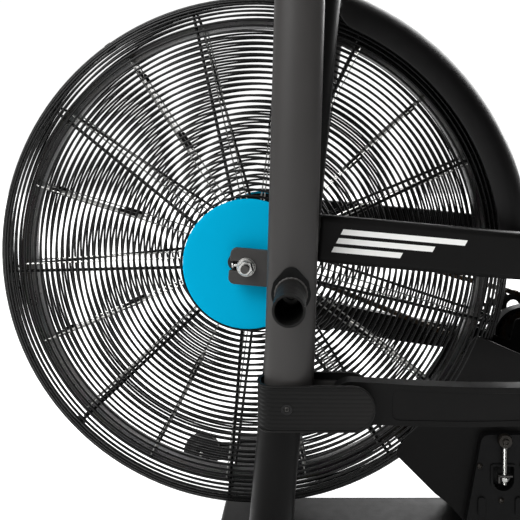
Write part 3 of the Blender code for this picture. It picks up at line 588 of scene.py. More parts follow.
def ring_places(wire):
    """(radius, depth) of each ring wire: evenly down the face, then round the shoulder."""
    count = 28
    first = DISC_RADIUS + 0.003
    places = []
    for i in range(count + 1):
        radius = first + (SHOULDER[0] - first) * i / count
        places.append((radius, cage_depth(radius) - wire))
    rounds = 9
    for i in range(1, rounds + 1):
        reach = math.sin(math.radians(80) * i / rounds)
        places.append((SHOULDER[0] + (CAGE_RADIUS - SHOULDER[0] - wire) * reach,
                       (SHOULDER[1] - wire) * math.sqrt(1 - reach * reach)))
    return places


def make_cage(side, sign):
    wire, spoke, rim = 0.0016, 0.0021, 0.0028
    for radius, depth in ring_places(wire):
        path = [at(radius * math.cos(a), sign * depth, radius * math.sin(a)) for a in turns(144)]
        tube(path, wire, 7, closed=True)
    rim_radius = CAGE_RADIUS - rim
    path = [at(rim_radius * math.cos(a), sign * 0.0032, rim_radius * math.sin(a)) for a in turns(144)]
    tube(path, rim, 9, closed=True)
    inset = 2 * wire + spoke
    for turn in turns(9, SPOKE_PHASE):
        path = []
        for i in range(9):
            radius = DISC_RADIUS - 0.004 + (SHOULDER[0] - DISC_RADIUS + 0.004) * i / 8
            path.append((radius, cage_depth(max(radius, DISC_RADIUS)) - inset))
        for i in range(1, 7):
            angle = math.pi / 2 * i / 7
            path.append((SHOULDER[0] + (CAGE_RADIUS - SHOULDER[0] - inset - rim) * math.sin(angle),
                         (SHOULDER[1] - inset) * math.cos(angle) + 0.0035 * math.sin(angle)))
        points = [at(r * math.cos(turn), sign * d, r * math.sin(turn)) for r, d in path]
        tube(points, spoke, 8)
    piece(f"cage_wires_{side}", "wire", "frame", f"cage_{side}", angle=60)


def make_rim_clips():
    """Spring clips that hold the two cage halves together at the rim."""
    radius = CAGE_RADIUS - 0.0035
    for angle in (20.7, 60.7, 125.4, 180.4, 224.0, 268.0, 312.0):
        turn = math.radians(angle)
        place = move(at(radius * math.cos(turn), 0, radius * math.sin(turn)))
        place = place @ spin(-turn, "Y")
        block((0.0068, 0.020, 0.010), place)
        block((0.0040, 0.006, 0.014), place @ move((-0.005, 0, 0)))
    piece("rim_clips", "wire", "frame", soften=0.0012)


def make_disc(side, sign):
    """A dished hub disc with a rolled rim."""
    bore = 0.016 if side == "left" else 0.034
    face = DISC_Y + 0.0015
    rim = arc((DISC_RADIUS - 0.0016, face - 0.0016), 0.0016, -math.pi / 2, math.pi / 2, 6)
    profile = [(DISC_RADIUS - 0.0032, face - 0.0030)] + rim
    profile += [(DISC_RADIUS - 0.008, face), (bore + 0.006, face), (bore, face - 0.0006),
                (bore, face - 0.0016)]
    lathe(FAN, ACROSS * sign, profile, 96)
    piece(f"hub_plate_{side}", "blue", "frame", f"hub_disc_{side}", angle=50)
    lathe(FAN, ACROSS * sign, [
        (bore + 0.001, face - 0.0030), (DISC_RADIUS - 0.0006, face - 0.0030),
        (DISC_RADIUS - 0.0040, face - 0.0024), (bore + 0.001, face - 0.0020)], 96)
    piece(f"hub_back_{side}", "plastic", "frame", angle=30)


def make_fan_wheel():
    """A spoked wheel with radial vanes inside a channel-shaped hoop."""
    lathe(FAN, ACROSS, mm(
        5.8, -48, 20, -48, 22, -44, 34, -42, 34, -30, 24, -26, 24, 26, 34, 30, 34, 42, 22, 44, 20, 48,
        5.8, 48), 48)
    piece("fan_hub", "fan", "fan", "fan_wheel")
    lathe(FAN, ACROSS, mm(
        315, -24, 315, -18, 311.7, -8, 311.7, 8, 315, 18, 315, 24, 313, 24, 312.2, 19, 309.7, 9, 309.7, -9,
        312.2, -19, 313, -24), 120)
    piece("fan_hoop", "fan", "fan", angle=20)
    for turn in turns(18, BLADE_PHASE):
        out = Vector((math.cos(turn), 0, math.sin(turn)))
        for sign in (-1, 1):
            start = FAN + out * 0.032 + ACROSS * (0.036 * sign)
            end = FAN + out * 0.3125 + ACROSS * (0.020 * sign)
            tube([start, end], 0.0011, 6)
    piece("fan_spokes", "zinc", "fan")
    blades = [move(FAN) @ spin(-turn, "Y") for turn in turns(9, BLADE_PHASE)]
    for place in blades:
        vane(place)
    piece("fan_vanes", "vane", "fan", angle=25)
    for place in blades:
        for sign in (-1, 1):
            for radius, size in ((0.183, (0.026, 0.0060, 0.0075)), (0.286, (0.014, 0.0050, 0.0065))):
                block(size, place @ move((radius, sign * 0.0150, 0)))
    piece("vane_clips", "plastic", "fan", soften=0.0012)


def vane(place):
    """A sheet vane with both long edges folded the same way."""
    inner, outer, half, lip, thick = 0.162, 0.3045, 0.0140, 0.0030, 0.0012
    section = [(-half, lip), (-half, 0), (half, 0), (half, lip), (half - thick, lip), (half - thick, thick),
               (-half + thick, thick), (-half + thick, lip)]
    steps = 8
    rows = []
    for i in range(steps + 1):
        share = i / steps
        radius = inner + (outer - inner) * share
        bow = 0.0015 * math.sin(math.pi * share)
        narrow = 1 - 0.10 * (1 - share)
        rows.append([PEN.verts.new(place @ Vector((radius, y * narrow, z + bow))) for y, z in section])
    for first, second in zip(rows, rows[1:]):
        bridge(first, second)
    PEN.faces.new(rows[0])
    PEN.faces.new(rows[-1])


def make_axle():
    """The fixed axle with a washer and a flanged nut on each side."""
    threads = []
    for i in range(-52, 53):
        threads += [(0.0049, i * 0.003 - 0.0004), (0.0044, i * 0.003 + 0.0011)]
    lathe(FAN, ACROSS, [(0.0, -0.1565)] + threads + [(0.0, 0.1576)], 20)
    piece("axle_rod", "dark_steel", "frame", "fan_axle", angle=60)
    for sign in (-1, 1):
        face = LUG_Y + LUG_THICK / 2
        place = FAN + ACROSS * (sign * face)
        lathe(place, ACROSS * sign, collar(0.0112, 0.0052, 0.0003, 0.0020, 0.0005), 40)
        lathe(place, ACROSS * sign, mm(5, 2, 10.2, 2, 10.4, 3, 9.6, 4, 9, 4.2, 5, 4.2), 40)
        lathe(place, ACROSS * sign, mm(5, 4, 9.3, 4, 9.3, 9.8, 8, 11.2, 5, 11.2), 6)
    piece("axle_nuts", "zinc", "frame", angle=30)


def make_shroud():
    """The guard over the fan's rear and top, with rounded corners where its flanges end."""
    inner, outer, half, wall = 0.3205, 0.366, 0.062, 0.0035
    start, end, steps = math.radians(-4), math.radians(71), 90
    corner = 0.030
    rows = []
    for i in range(steps + 1):
        angle = start + (end - start) * i / steps
        from_end = min(angle - start, end - angle) * inner
        reach = max(0.0, corner - from_end)
        lip = inner + corner - math.sqrt(corner * corner - reach * reach)
        section = [(lip, -half), (lip + 0.0015, -half - 0.0004)]
        section += [(outer - 0.034 + 0.034 * math.sin(t), -half + 0.034 * (1 - math.cos(t)))
                    for t in (math.pi / 2 * k / 10 for k in range(1, 11))]
        rows.append([PEN.verts.new(FAN + Vector((r * math.cos(angle), y, r * math.sin(angle))))
                     for r, y in mirrored(section)])
    for first, second in zip(rows, rows[1:]):
        strip(first, second)
    guard = piece("fan_guard", "gloss_plastic", "frame", "shroud", angle=60)
    shell = guard.modifiers.new("wall", "SOLIDIFY")
    shell.thickness = wall
    shell.offset = -1
    face = guard.data.polygons[len(guard.data.polygons) // 2]
    if face.normal.dot(face.center - FAN) < 0:
        guard.data.flip_normals()
    place = move(FAN) @ spin(math.radians(-1), "Y")
    for sign in (-1, 1):
        block((0.020, 0.003, 0.040), place @ move((0.334, sign * (half - 0.004), -0.004)))
    piece("guard_brackets", "frame", "frame", soften=0.002)


# Masts, bars and gussets
def make_mast(side, sign):
    """A leaning fork leg with its welded, open-ended axle lug."""
    foot_z = high("front_stabiliser").z - FAN.z
    foot, top = at(mast_x(foot_z), sign * MAST_Y, foot_z), at(mast_x(MAST_TOP), sign * MAST_Y, MAST_TOP)
    path, sizes = round_ended([foot - (top - foot).normalized() * 0.002, top], MAST_RADIUS, 0.0015)
    tube(path, sizes, 56)
    boss_at = beside_fan(PIVOT)
    lathe(boss_at, ACROSS * sign, drum(0.018, MAST_Y, 0.1893, 0.001), 40)
    piece(f"mast_tube_{side}", "frame", "frame", f"mast_{side}")
    axis = (top - foot).normalized()
    weld(weld_ring(foot + axis * 0.001, axis, MAST_RADIUS + 0.0005), 0.0028)
    lug_rear = mast_x(0) - 0.0225
    for edge in (-1, 1):
        y = sign * (LUG_Y + edge * (0.001 + LUG_THICK / 2))
        points = [lug_place(lug_rear + 0.001 - 0.0004 * abs(i), y, 0.0225 * i / 10) for i in range(-10, 11)]
        weld(points, 0.0017, closed=False)
    piece(f"mast_welds_{side}", "frame", "frame", angle=60)
    plate([lug_outline()], 0, LUG_THICK)
    shift = move(ACROSS * (sign * LUG_Y))
    lean = move(FAN) @ spin(MAST_LEAN, "Y") @ move(-FAN)
    piece(f"axle_lug_{side}", "lever", "frame", soften=0.0012, turned=shift @ lean)
    lathe(boss_at, ACROSS * sign, drum(0.008, 0.185, LEVER_FACE_Y, 0.0005), 28)
    lathe(boss_at, ACROSS * sign, collar(0.0122, 0.004, 0.2266, 0.2286, 0.0006), 36)
    lathe(boss_at, ACROSS * sign, mm(
        0, 228, 9.6, 228, 9.6, 234.2, 8.6, 235.5, 5, 235.5, 4.4, 231.5, 0, 231.5), 30)
    piece(f"pivot_bolt_{side}", "dark_steel", "frame")
    lathe(top + axis * 0.0004, axis, drum(MAST_RADIUS - 0.0008, -0.002, 0.0022, 0.002), 48)
    piece(f"mast_cap_{side}", "plastic", "frame")


def lug_place(x, y, z):
    """A place beside the axle, turned with the mast's lean."""
    cosine, sine = math.cos(MAST_LEAN), math.sin(MAST_LEAN)
    return at(x * cosine + z * sine, y, z * cosine - x * sine)


def lug_outline():
    half, slot, front, corner = 0.0215, 0.0055, -0.0200, 0.0075
    points = [(front, slot)]
    points += arc((front + corner, half - corner), corner, math.pi, math.pi / 2, 8)
    points += [(0.052, half), (0.052, -half)]
    points += arc((front + corner, -half + corner), corner, -math.pi / 2, -math.pi, 8)
    points += [(front, -slot)]
    return points + arc((0, 0), slot, -math.pi / 2, math.pi / 2, 10)


def make_axle_adjuster():
    """A bush behind the near lug and the tip of its setting screw, seen in the slot."""
    lathe(at(-0.0125, 0, 0.0045), -ACROSS, drum(0.0105, 0.1162, 0.1285, 0.001), 36)
    piece("axle_bush", "rubber", "frame")
    lathe(at(-0.0172, -0.1335, 0.0016), (1, 0, 0), drum(0.0040, 0.0, 0.0024, 0.0006), 24)
    lathe(at(-0.0172, -0.1335, 0.0016), (1, 0, 0), drum(0.0022, 0.0, 0.0100, 0.0004), 20)
    piece("axle_set_screw", "zinc", "frame")


def make_bridge():
    """The cross tube between the masts, and the neck that carries the console."""
    x = mast_x(BRIDGE_Z)
    reach = MAST_Y - MAST_RADIUS + 0.003
    tube([at(x, -reach, BRIDGE_Z), at(x, reach, BRIDGE_Z)], 0.019, 40, up=UP)
    console = from_fan(middle("console"))
    route = [at(x, 0, BRIDGE_Z), at(x + 0.006, 0, BRIDGE_Z + 0.12), at(x + 0.022, 0, BRIDGE_Z + 0.22),
             at(console[0] - 0.030, 0, console[1] - 0.026)]
    tube(smooth_path(route), 0.016, 32)
    piece("bridge_tube", "frame", "frame", "mast_bridge")
    for sign in (-1, 1):
        weld(weld_ring(at(x, sign * (MAST_Y - MAST_RADIUS + 0.0006), BRIDGE_Z), ACROSS, 0.0195), 0.0022)
    weld(weld_ring(at(x, 0, BRIDGE_Z + 0.0185), UP, 0.0165, 48), 0.0020)
    piece("bridge_welds", "frame", "frame", angle=60)


def bar_outline(sign):
    """The bar from above: straight beside the cage, then bent in to the seat tube."""
    half = BAR_THICK / 2
    front = mast_x(BAR_FRONT[1]) + MAST_RADIUS - 0.004
    rear_y = SEAT_HALF + half
    slope = math.atan2(MAST_Y - rear_y, BAR_REAR - BAR_BEND_X)
    bend = 0.050
    outer = [(front, MAST_Y + half)] + bend_points(bend, slope, half)
    outer += [(BAR_REAR, rear_y + half / math.cos(slope)), (BAR_REAR, SEAT_HALF + 0.0003)]
    inner = [(BAR_REAR - 0.030, SEAT_HALF + 0.0003)] + bend_points(bend, slope, -half)[::-1]
    inner += [(front, MAST_Y - half)]
    return [(x, sign * y) for x, y in outer + inner]


def bend_points(bend, slope, offset, steps=10):
    """Points along the bend, moved sideways by offset."""
    points = []
    for i in range(steps + 1):
        share = i / steps
        turn = slope * share
        x = BAR_BEND_X + bend * (share - 0.5)
        y = MAST_Y - bend * slope * share * share / 2
        points.append((x + offset * math.sin(turn), y + offset * math.cos(turn)))
    return points


def bar_matrix():
    centre = (mast_x(BAR_FRONT[1]) + MAST_RADIUS + 0.002 + BAR_REAR) / 2
    turned = move(at(centre, 0, bar_centre(centre))) @ spin(MAST_LEAN, "Y")
    return turned @ move((-centre, 0, 0))


def make_support_bar(side, sign):
    place = bar_matrix()
    flat([bar_outline(sign)], BAR_HEIGHT, place)
    piece(f"bar_tube_{side}", "frame", "frame", f"support_bar_{side}", soften=0.0075, segments=5)
    front = mast_x(BAR_FRONT[1]) + MAST_RADIUS - 0.0015
    height, depth = BAR_HEIGHT / 2 - 0.001, BAR_THICK / 2
    loop = [(depth + 0.0003, -height + 2 * height * i / 12) for i in range(12)]
    loop += [(depth - 2 * depth * i / 6, height) for i in range(6)]
    loop += [(-y, -z) for y, z in loop]
    path = [place @ Vector((front - 0.0016 * abs(y) / depth, sign * MAST_Y + y, z)) for y, z in loop]
    weld(path, 0.0022)
    piece(f"bar_welds_{side}", "frame", "frame", angle=60)
    make_stripes(side, sign, place)


def make_stripes(side, sign, place):
    """An abstract mark: three stacked stripes with slanted ends, each shorter than the last."""
    stand = place @ spin(math.pi / 2, "X")
    start, slant, height, step = 0.104, 0.42, 0.0062, 0.0102
    for row, length in enumerate((0.139, 0.108, 0.077)):
        z = (1 - row) * step
        outline = []
        for x, edge in ((start, -1), (start + length, -1), (start + length, 1), (start, 1)):
            rise = z + edge * height / 2
            outline.append((x + rise * slant, rise))
        shift = move(ACROSS * (sign * (MAST_Y + BAR_THICK / 2 + 0.0001)))
        flat([outline], 0.0005, shift @ stand)
    piece(f"bar_stripes_{side}", "white", "frame")


GUSSET_OUTLINE = mm(
    189, -267, 297, -107, 366, -137, 374, -104, 410, -100, 500, -112, 560, -92, 630, -115, 600, -400,
    318, -400, 262, -336, 242, -320.5)


def rounded_outline(points, radius, steps=4):
    """The outline with its corners rounded."""
    made = []
    count = len(points)
    for i in range(count):
        before, here, after = Vector(points[i - 1]), Vector(points[i]), Vector(points[(i + 1) % count])
        reach = min(radius, (before - here).length / 2.2, (after - here).length / 2.2)
        first = here + (before - here).normalized() * reach
        last = here + (after - here).normalized() * reach
        for k in range(steps + 1):
            t = k / steps
            made.append(tuple(first * (1 - t) ** 2 + here * (2 * t * (1 - t)) + last * t * t))
    return made


def make_gussets():
    for side, sign in SIDES:
        plate([rounded_outline(GUSSET_OUTLINE, 0.006), circle(CRANK, 0.0250, 40), circle(MID, 0.0086, 24)],
              sign * GUSSET_Y, GUSSET_THICK)
        piece(f"gusset_plate_{side}", "frame", "frame", f"gusset_{side}", soften=0.0008)
        beam_top = high("floor_beam").z - FAN.z
        points = [at(0.325 + 0.270 * i / 80, sign * (GUSSET_Y + 0.003), beam_top + 0.0008)
                  for i in range(81)]
        weld(points, 0.0024, closed=False)
        lathe(beside_fan(MID), ACROSS * sign,
              collar(0.020, 0.0088, GUSSET_Y + 0.0025, GUSSET_Y + 0.0075, 0.001), 40)
        piece(f"gusset_fittings_{side}", "frame", "frame", angle=45)
    for sign in (-1, 1):
        for x, z in mm(430, -190, 430, -300, 560, -300, 590, -170, 350, -215):
            bolt(at(x, sign * (GUSSET_Y + GUSSET_THICK / 2), z), ACROSS * sign, 0.0065, 0.0055)
    piece("gusset_bolts", "dark_steel", "frame")
    lathe(beside_fan(CRANK), ACROSS, mm(
        9.5, -100, 22.5, -100, 24, -98.5, 24, -90, 22.5, -89, 22.5, -42, 24, -41, 24, 46.5, 22.5, 48,
        9.5, 48), 48)
    piece("crank_shell", "frame", "frame", "crank_housing")


# Front cover, chain tensioner and seat tube
COVER_Y = -0.0468
COVER_THICK = 0.012


def make_front_cover():
    """The moulded plate at the foot of the near gusset, with a lipped window."""
    outline = rounded_outline(mm(302, -236, 280, -362, 372, -362, 362, -236), 0.010)
    window = [(0.316, -0.2775), (0.316, -0.296)] + arc((0.330, -0.296), 0.014, math.pi, 2 * math.pi, 16)
    window += [(0.344, -0.296), (0.344, -0.2775)]
    window = rounded_outline(window, 0.003)
    lip = [(0.3130, -0.2745), (0.3130, -0.296)] + arc((0.330, -0.296), 0.017, math.pi, 2 * math.pi, 16)
    lip += [(0.3470, -0.296), (0.3470, -0.2745)]
    face = COVER_Y - COVER_THICK / 2
    plate([outline, window], COVER_Y, COVER_THICK - 0.0014)
    plate([rounded_outline(lip, 0.004), window], face - 0.0002, 0.0020)
    piece("front_cover_plate", "plastic", "frame", "drive_front_cover", soften=0.0012)
    for x in (0.3017, 0.351):
        boss = arc((x, -0.3235), 0.0052, 0, math.pi, 10)
        boss += arc((x, -0.3395), 0.0052, math.pi, 2 * math.pi, 10)
        plate([boss], face - 0.0008, 0.0024)
    piece("front_cover_bosses", "plastic", "frame", soften=0.0009)
    for x, z in mm(298.8, -277.5, 355.4, -276.2, 327.8, -323.9):
        screw(at(x, face + 0.0006, z), -ACROSS, 0.0040)
    piece("front_cover_screws", "oxide", "frame")


def make_tensioner():
    """An eyebolt that pulls the middle shaft down to tighten the chain."""
    x, y = 0.330, -0.0583
    threads = []
    for i in range(46):
        threads += [(0.0031, i * 0.0011), (0.0027, i * 0.0011 + 0.0006)]
    lathe(at(x, y, -0.2985), UP, [(0.0, 0.0)] + threads + [(0.0, 0.0505)], 16)
    piece("tension_bolt", "zinc", "frame", "chain_tensioner", angle=60)
    lathe(at(x, y, -0.241), ACROSS, mm(5, -4, 8.2, -4, 9.3, -2.4, 9.3, 2.4, 8.2, 4, 5, 4), 32)
    piece("tension_eye", "oxide", "frame")
    bolt(at(x, y - 0.0036, -0.241), -ACROSS, 0.0050, 0.0042)
    piece("tension_eye_bolt", "oxide", "frame")
    block((0.0190, 0.0085, 0.0026), at(x, y, -0.2865))
    block((0.0026, 0.0085, 0.0100), at(x - 0.0082, y, -0.2905))
    piece("tension_tab", "dark_steel", "frame", soften=0.0006)
    lathe(at(x, y, -0.2935), UP, mm(2.8, 0, 5.2, 0, 6, 0.8, 6, 4, 5.2, 4.8, 2.8, 4.8), 6)
    piece("tension_nut", "zinc", "frame")


# Chains and sprockets
def pitch_radius(teeth):
    return CHAIN_PITCH / 2 / math.sin(math.pi / teeth)


def belt_outline(first, first_radius, second, second_radius, steps=12):
    """The outline of a belt round two wheels."""
    apart = Vector(second) - Vector(first)
    heading = math.atan2(apart.y, apart.x)
    spread = math.acos((first_radius - second_radius) / apart.length)
    far = arc(second, second_radius, heading - spread, heading + spread, steps)
    near = arc(first, first_radius, heading + spread, heading - spread + 2 * math.pi, steps)
    return far + near


def spaced(outline, pitch):
    """Points evenly spaced round a closed outline, an even number of them about pitch apart."""
    points = [Vector(point) for point in outline]
    lengths = [(points[(i + 1) % len(points)] - point).length for i, point in enumerate(points)]
    count = 2 * round(sum(lengths) / pitch / 2)
    step = sum(lengths) / count
    made, along, edge = [], 0.0, 0
    for i in range(count):
        while along + lengths[edge] < i * step:
            along += lengths[edge]
            edge += 1
        start, end = points[edge], points[(edge + 1) % len(points)]
        made.append(start.lerp(end, (i * step - along) / lengths[edge]))
    return made


def link_outline(start, end, half, waist):
    """A figure of eight round two pins."""
    along = (end - start).normalized()
    across = Vector((-along.y, along.x))
    points = []
    for centre, turn in ((end, 0.0), (start, math.pi)):
        for i in range(7):
            angle = turn - math.pi * 0.42 + math.pi * 0.84 * i / 6
            points.append(centre + along * (half * math.cos(angle)) + across * (half * math.sin(angle)))
        side = 1 if turn == 0.0 else -1
        points.append((start + end) / 2 + across * (waist * side))
    return points


def sheet(outline, y, thickness):
    """A thin plate from an outline with no holes, quicker than a filled curve."""
    faces = []
    for face_y in (y - thickness / 2, y + thickness / 2):
        faces.append([PEN.verts.new(at(p[0], face_y, p[1])) for p in outline])
    bridge(faces[0], faces[1])
    for ring in faces:
        PEN.faces.new(ring)


def make_chain(node, first, first_teeth, second, second_teeth, y):
    outline = belt_outline(first, pitch_radius(first_teeth), second, pitch_radius(second_teeth), 60)
    pins = spaced(outline, CHAIN_PITCH)
    for i, start in enumerate(pins):
        outline = link_outline(start, pins[(i + 1) % len(pins)], 0.0042, 0.0030)
        for sign in (-1, 1):
            sheet(outline, y + sign * (0.0031 if i % 2 else 0.0043), 0.0010)
    piece(f"{node}_plates", "chain", "frame", node)
    for pin in pins:
        lathe(at(pin.x, y, pin.y), ACROSS, mirrored(mm(
            0, -5.4, 1.6, -5.4, 1.8, -5, 1.8, -2.5, 3.8, -2.5)), 10)
    piece(f"{node}_rollers", "chain", "frame")
    return pins


def tooth_outline(centre, teeth, phase):
    radius = pitch_radius(teeth)
    points = []
    for turn in turns(teeth, phase):
        for share, rise in ((-0.5, 0.0044), (-0.42, 0.0040), (-0.26, -0.0014), (-0.14, -0.0036),
                            (0.0, -0.0043), (0.14, -0.0036), (0.26, -0.0014), (0.42, 0.0040)):
            points.append(on_circle(centre, radius + rise, turn + share * 2 * math.pi / teeth))
    return points


def gap_phase(centre, pins):
    """The heading of the chain pin that sits deepest on a wheel."""
    nearest = min(pins, key=lambda pin: (pin - Vector(centre)).length)
    return math.atan2(nearest.y - centre[1], nearest.x - centre[0])


def make_sprocket(node, body, centre, teeth, y, pins, bore, windows):
    outlines = [tooth_outline(centre, teeth, gap_phase(centre, pins)), circle(centre, bore)]
    radius = pitch_radius(teeth)
    for turn in turns(windows, 0.3):
        outlines.append(circle(on_circle(centre, radius * 0.58, turn), radius * 0.20, 20))
    plate(outlines, y, 0.0026)
    piece(f"{node}_teeth", "dark_steel", body, node, soften=0.0004, segments=2)


def make_drive():
    fan_pins = make_chain("fan_chain", (0, 0), FAN_TEETH, MID, MID_LARGE_TEETH, FAN_CHAIN_Y)
    drive_pins = make_chain("drive_chain", MID, MID_SMALL_TEETH, CRANK, CRANK_TEETH, DRIVE_CHAIN_Y)
    fan_stage, drive_stage = (FAN_CHAIN_Y, fan_pins), (DRIVE_CHAIN_Y, drive_pins)
    for node, body, centre, teeth, (y, pins), bore, windows in (
            ("fan_sprocket", "fan", (0, 0), FAN_TEETH, fan_stage, 0.0180, 0),
            ("mid_sprocket_large", "middle_shaft", MID, MID_LARGE_TEETH, fan_stage, 0.0083, 6),
            ("mid_sprocket_small", "middle_shaft", MID, MID_SMALL_TEETH, drive_stage, 0.0083, 0),
            ("chainring", "crank", CRANK, CRANK_TEETH, drive_stage, 0.0093, 5)):
        make_sprocket(node, body, centre, teeth, y, pins, bore, windows)
    lathe(FAN, ACROSS, mm(
        5.8, 48.5, 20, 48.5, 20, 88, 18.8, 89, 18.8, 93, 20, 94, 20, 118, 22.5, 119, 22.5, 125, 5.8, 125), 36)
    piece("fan_freewheel", "dark_steel", "fan")
    centre = beside_fan(MID)
    lathe(centre, ACROSS, drum(0.008, -0.050, 0.130, 0.001), 28)
    for y in (DRIVE_CHAIN_Y, FAN_CHAIN_Y):
        lathe(centre, ACROSS, collar(0.0150, 0.0078, y + 0.0014, y + 0.0060, 0.001), 32)
        lathe(centre, ACROSS, collar(0.0150, 0.0078, y - 0.0065, y - 0.0014, 0.001), 32)
    piece("middle_spindle", "dark_steel", "middle_shaft", "mid_shaft")
    centre = beside_fan(CRANK)
    lathe(centre, ACROSS, drum(0.009, -0.1777, 0.1777, 0.001), 28)
    lathe(centre, ACROSS, collar(0.0180, 0.0088, 0.0634, 0.0690, 0.001), 32)
    lathe(centre, ACROSS, collar(0.0180, 0.0088, 0.0490, 0.0606, 0.001), 32)
    piece("crank_spindle", "dark_steel", "crank", "crank_axle")
    make_chain_cover()


def make_chain_cover():
    """A moulded tray over the drive chain, with a raised border and screws."""
    inner, outer, wall = 0.0535, 0.0745, 0.0025
    edge = belt_outline(MID, 0.042, CRANK, 0.0895, 40)
    lining = belt_outline(MID, 0.042 - wall, CRANK, 0.0895 - wall, 40)
    step = belt_outline(MID, 0.034, CRANK, 0.0800, 40)
    holes = [circle(CRANK, 0.0140), circle(MID, 0.0110)]
    plate([edge, lining], (inner + outer) / 2 - 0.0012, outer - inner - 0.0026)
    plate([edge] + holes, outer - wall / 2 - 0.0006, wall)
    plate([step] + holes, outer + 0.0002, 0.0030)
    piece("chain_cover_tray", "plastic", "frame", "chain_cover", soften=0.0014)
    for turn in (-1.9, -0.6, 0.6, 1.9):
        place = on_circle(CRANK, 0.0845, turn)
        screw(at(place[0], outer - 0.0008, place[1]), ACROSS, 0.0036)
    piece("chain_cover_screws", "dark_steel", "frame")


# Cranks and pedals
def crank_turn(side):
    return math.atan2(PEDALS[side][1] - CRANK[1], PEDALS[side][0] - CRANK[0])


def crank_pin(side):
    return on_circle(CRANK, PIN_RADIUS, crank_turn(side))


def make_crank(side, sign):
    pin, pedal = crank_pin(side), PEDALS[side]
    plate([belt_outline(CRANK, 0.021, pin, 0.016, 24)], sign * INNER_ARM_Y, CRANK_ARM_THICK)
    piece(f"crank_inner_arm_{side}", "dark_steel", "crank", f"crank_{side}", soften=0.0018)
    bolt(at(CRANK[0], sign * (INNER_ARM_Y + CRANK_ARM_THICK / 2), CRANK[1]), ACROSS * sign, 0.0075, 0.0050)
    piece(f"crank_nut_{side}", "zinc", "crank")
    outline = belt_outline(pin, 0.018, pedal, 0.014, 24)
    hollow = belt_outline(on_circle(CRANK, 0.068, crank_turn(side)), 0.0085,
                          on_circle(CRANK, 0.142, crank_turn(side)), 0.0070, 16)
    plate([outline, hollow], sign * OUTER_ARM_Y, CRANK_ARM_THICK)
    plate([outline], sign * OUTER_ARM_Y, 0.0070)
    piece(f"crank_outer_arm_{side}", "frame", "crank", f"crank_outer_{side}", soften=0.0016)
    centre = beside_fan(pedal)
    lathe(centre, ACROSS * sign, drum(0.0070, 0.2305, 0.331, 0.001), 24)
    lathe(centre, ACROSS * sign, collar(0.0100, 0.0065, 0.2380, 0.2436, 0.0008), 6)
    piece(f"pedal_spindle_{side}", "dark_steel", "crank")
    make_pedal(side, sign, centre + ACROSS * (sign * PEDAL_Y))


def make_pedal(side, sign, centre):
    """A moulded pedal: a barrel with an open cage of treaded bars round it."""
    middle_plane = Vector((centre.x, 0, centre.z))
    lathe(middle_plane, ACROSS * sign, collar(0.0118, 0.0076, 0.2455, 0.3348, 0.001), 32)
    for along in (-1, 1):
        block((0.0080, 0.0890, 0.0236), centre + Vector((along * 0.0438, 0, 0)))
        block((0.0060, 0.0890, 0.0200), centre + Vector((along * 0.0225, 0, 0)))
        block((0.0956, 0.0075, 0.0236), centre + Vector((0, along * 0.0408, 0)))
        block((0.0860, 0.0050, 0.0180), centre + Vector((0, along * 0.0180, 0)))
    piece(f"pedal_body_{side}", "rubber", f"pedal_{side}_body", f"pedal_{side}", soften=0.0016)
    for along in (-1, 1):
        for i in range(9):
            y = -0.036 + 0.009 * i
            for face in (-1, 1):
                block((0.0060, 0.0040, 0.0030), centre + Vector((along * 0.0438, y, face * 0.0105)))
    for i in range(8):
        for along in (-1, 1):
            for face in (-1, 1):
                stud = centre + Vector((-0.034 + 0.0097 * i, along * 0.0408, face * 0.0105))
                block((0.0040, 0.0055, 0.0030), stud)
    piece(f"pedal_tread_{side}", "rubber", f"pedal_{side}_body", soften=0.0006, segments=2)


# Levers and links
HANDLE_ROUTE = mm(0, 450, 3.5, 500, 16, 545, 42, 585, 78, 620, 112, 653, 136, 692, 146, 735, 149, 790)
HANDLE_RADIUS = 0.016
HANDLE_DROP = 0.012
GRIP_RADIUS = 0.0195
LEVER_FOOT = -0.152
LEVER_KNEE = 0.450


def handle_points(sign):
    base = lever_x(LEVER_KNEE)
    return [at(base + x, sign * LEVER_Y, z - HANDLE_DROP) for x, z in HANDLE_ROUTE]


def make_lever(side, sign):
    body = f"lever_{side}_body"
    foot = at(lever_x(LEVER_FOOT), sign * LEVER_Y, LEVER_FOOT)
    knee = at(lever_x(LEVER_KNEE), sign * LEVER_Y, LEVER_KNEE)
    path, sizes = round_ended([foot, knee], LEVER_WIDTH / 2, 0.0035, 6)
    tube(path, sizes, 72, flat=LEVER_DEPTH / LEVER_WIDTH)
    points = handle_points(sign)
    route = smooth_path(points)
    tube(route, HANDLE_RADIUS, 36)
    piece(f"lever_arm_{side}", "lever", body, f"lever_{side}")
    weld(weld_ring(knee + Vector((0.0006, 0, 0.0008)), UP, HANDLE_RADIUS + 0.0004), 0.0024)
    boss_at = beside_fan(PIVOT)
    weld(weld_ring(boss_at + ACROSS * (sign * LEVER_FACE_Y), ACROSS, PEG_RADIUS + 0.0006, 72), 0.0016)
    piece(f"lever_welds_{side}", "lever", body, angle=60)
    make_grip(side, points)
    make_peg(side, sign)
    make_lever_cover(side, sign)


def make_grip(side, points):
    """A ribbed sleeve with a flange below and a rounded end above."""
    route = smooth_path(points[5:])[6:] + [points[8] + Vector((0, 0, 0.006))]
    fine = []
    for start, end in zip(route, route[1:]):
        fine += [start.lerp(end, i / 6) for i in range(6)]
    fine.append(route[-1])
    sizes = []
    for i in range(len(fine)):
        near_end = min(i, len(fine) - 1 - i)
        rib = 0.0008 * (1 if i % 3 else -1) if near_end > 5 else 0.0
        sizes.append(GRIP_RADIUS - 0.0014 + rib)
    for i, size in enumerate((0.0160, 0.0185, 0.0193, 0.0195, 0.0190)):
        sizes[i] = size
        sizes[-1 - i] = min(size, 0.0188)
    sizes[-1] = 0.0120
    tube(fine, sizes, 36)
    piece(f"grip_sleeve_{side}", "rubber", f"lever_{side}_body", f"grip_{side}", angle=40)


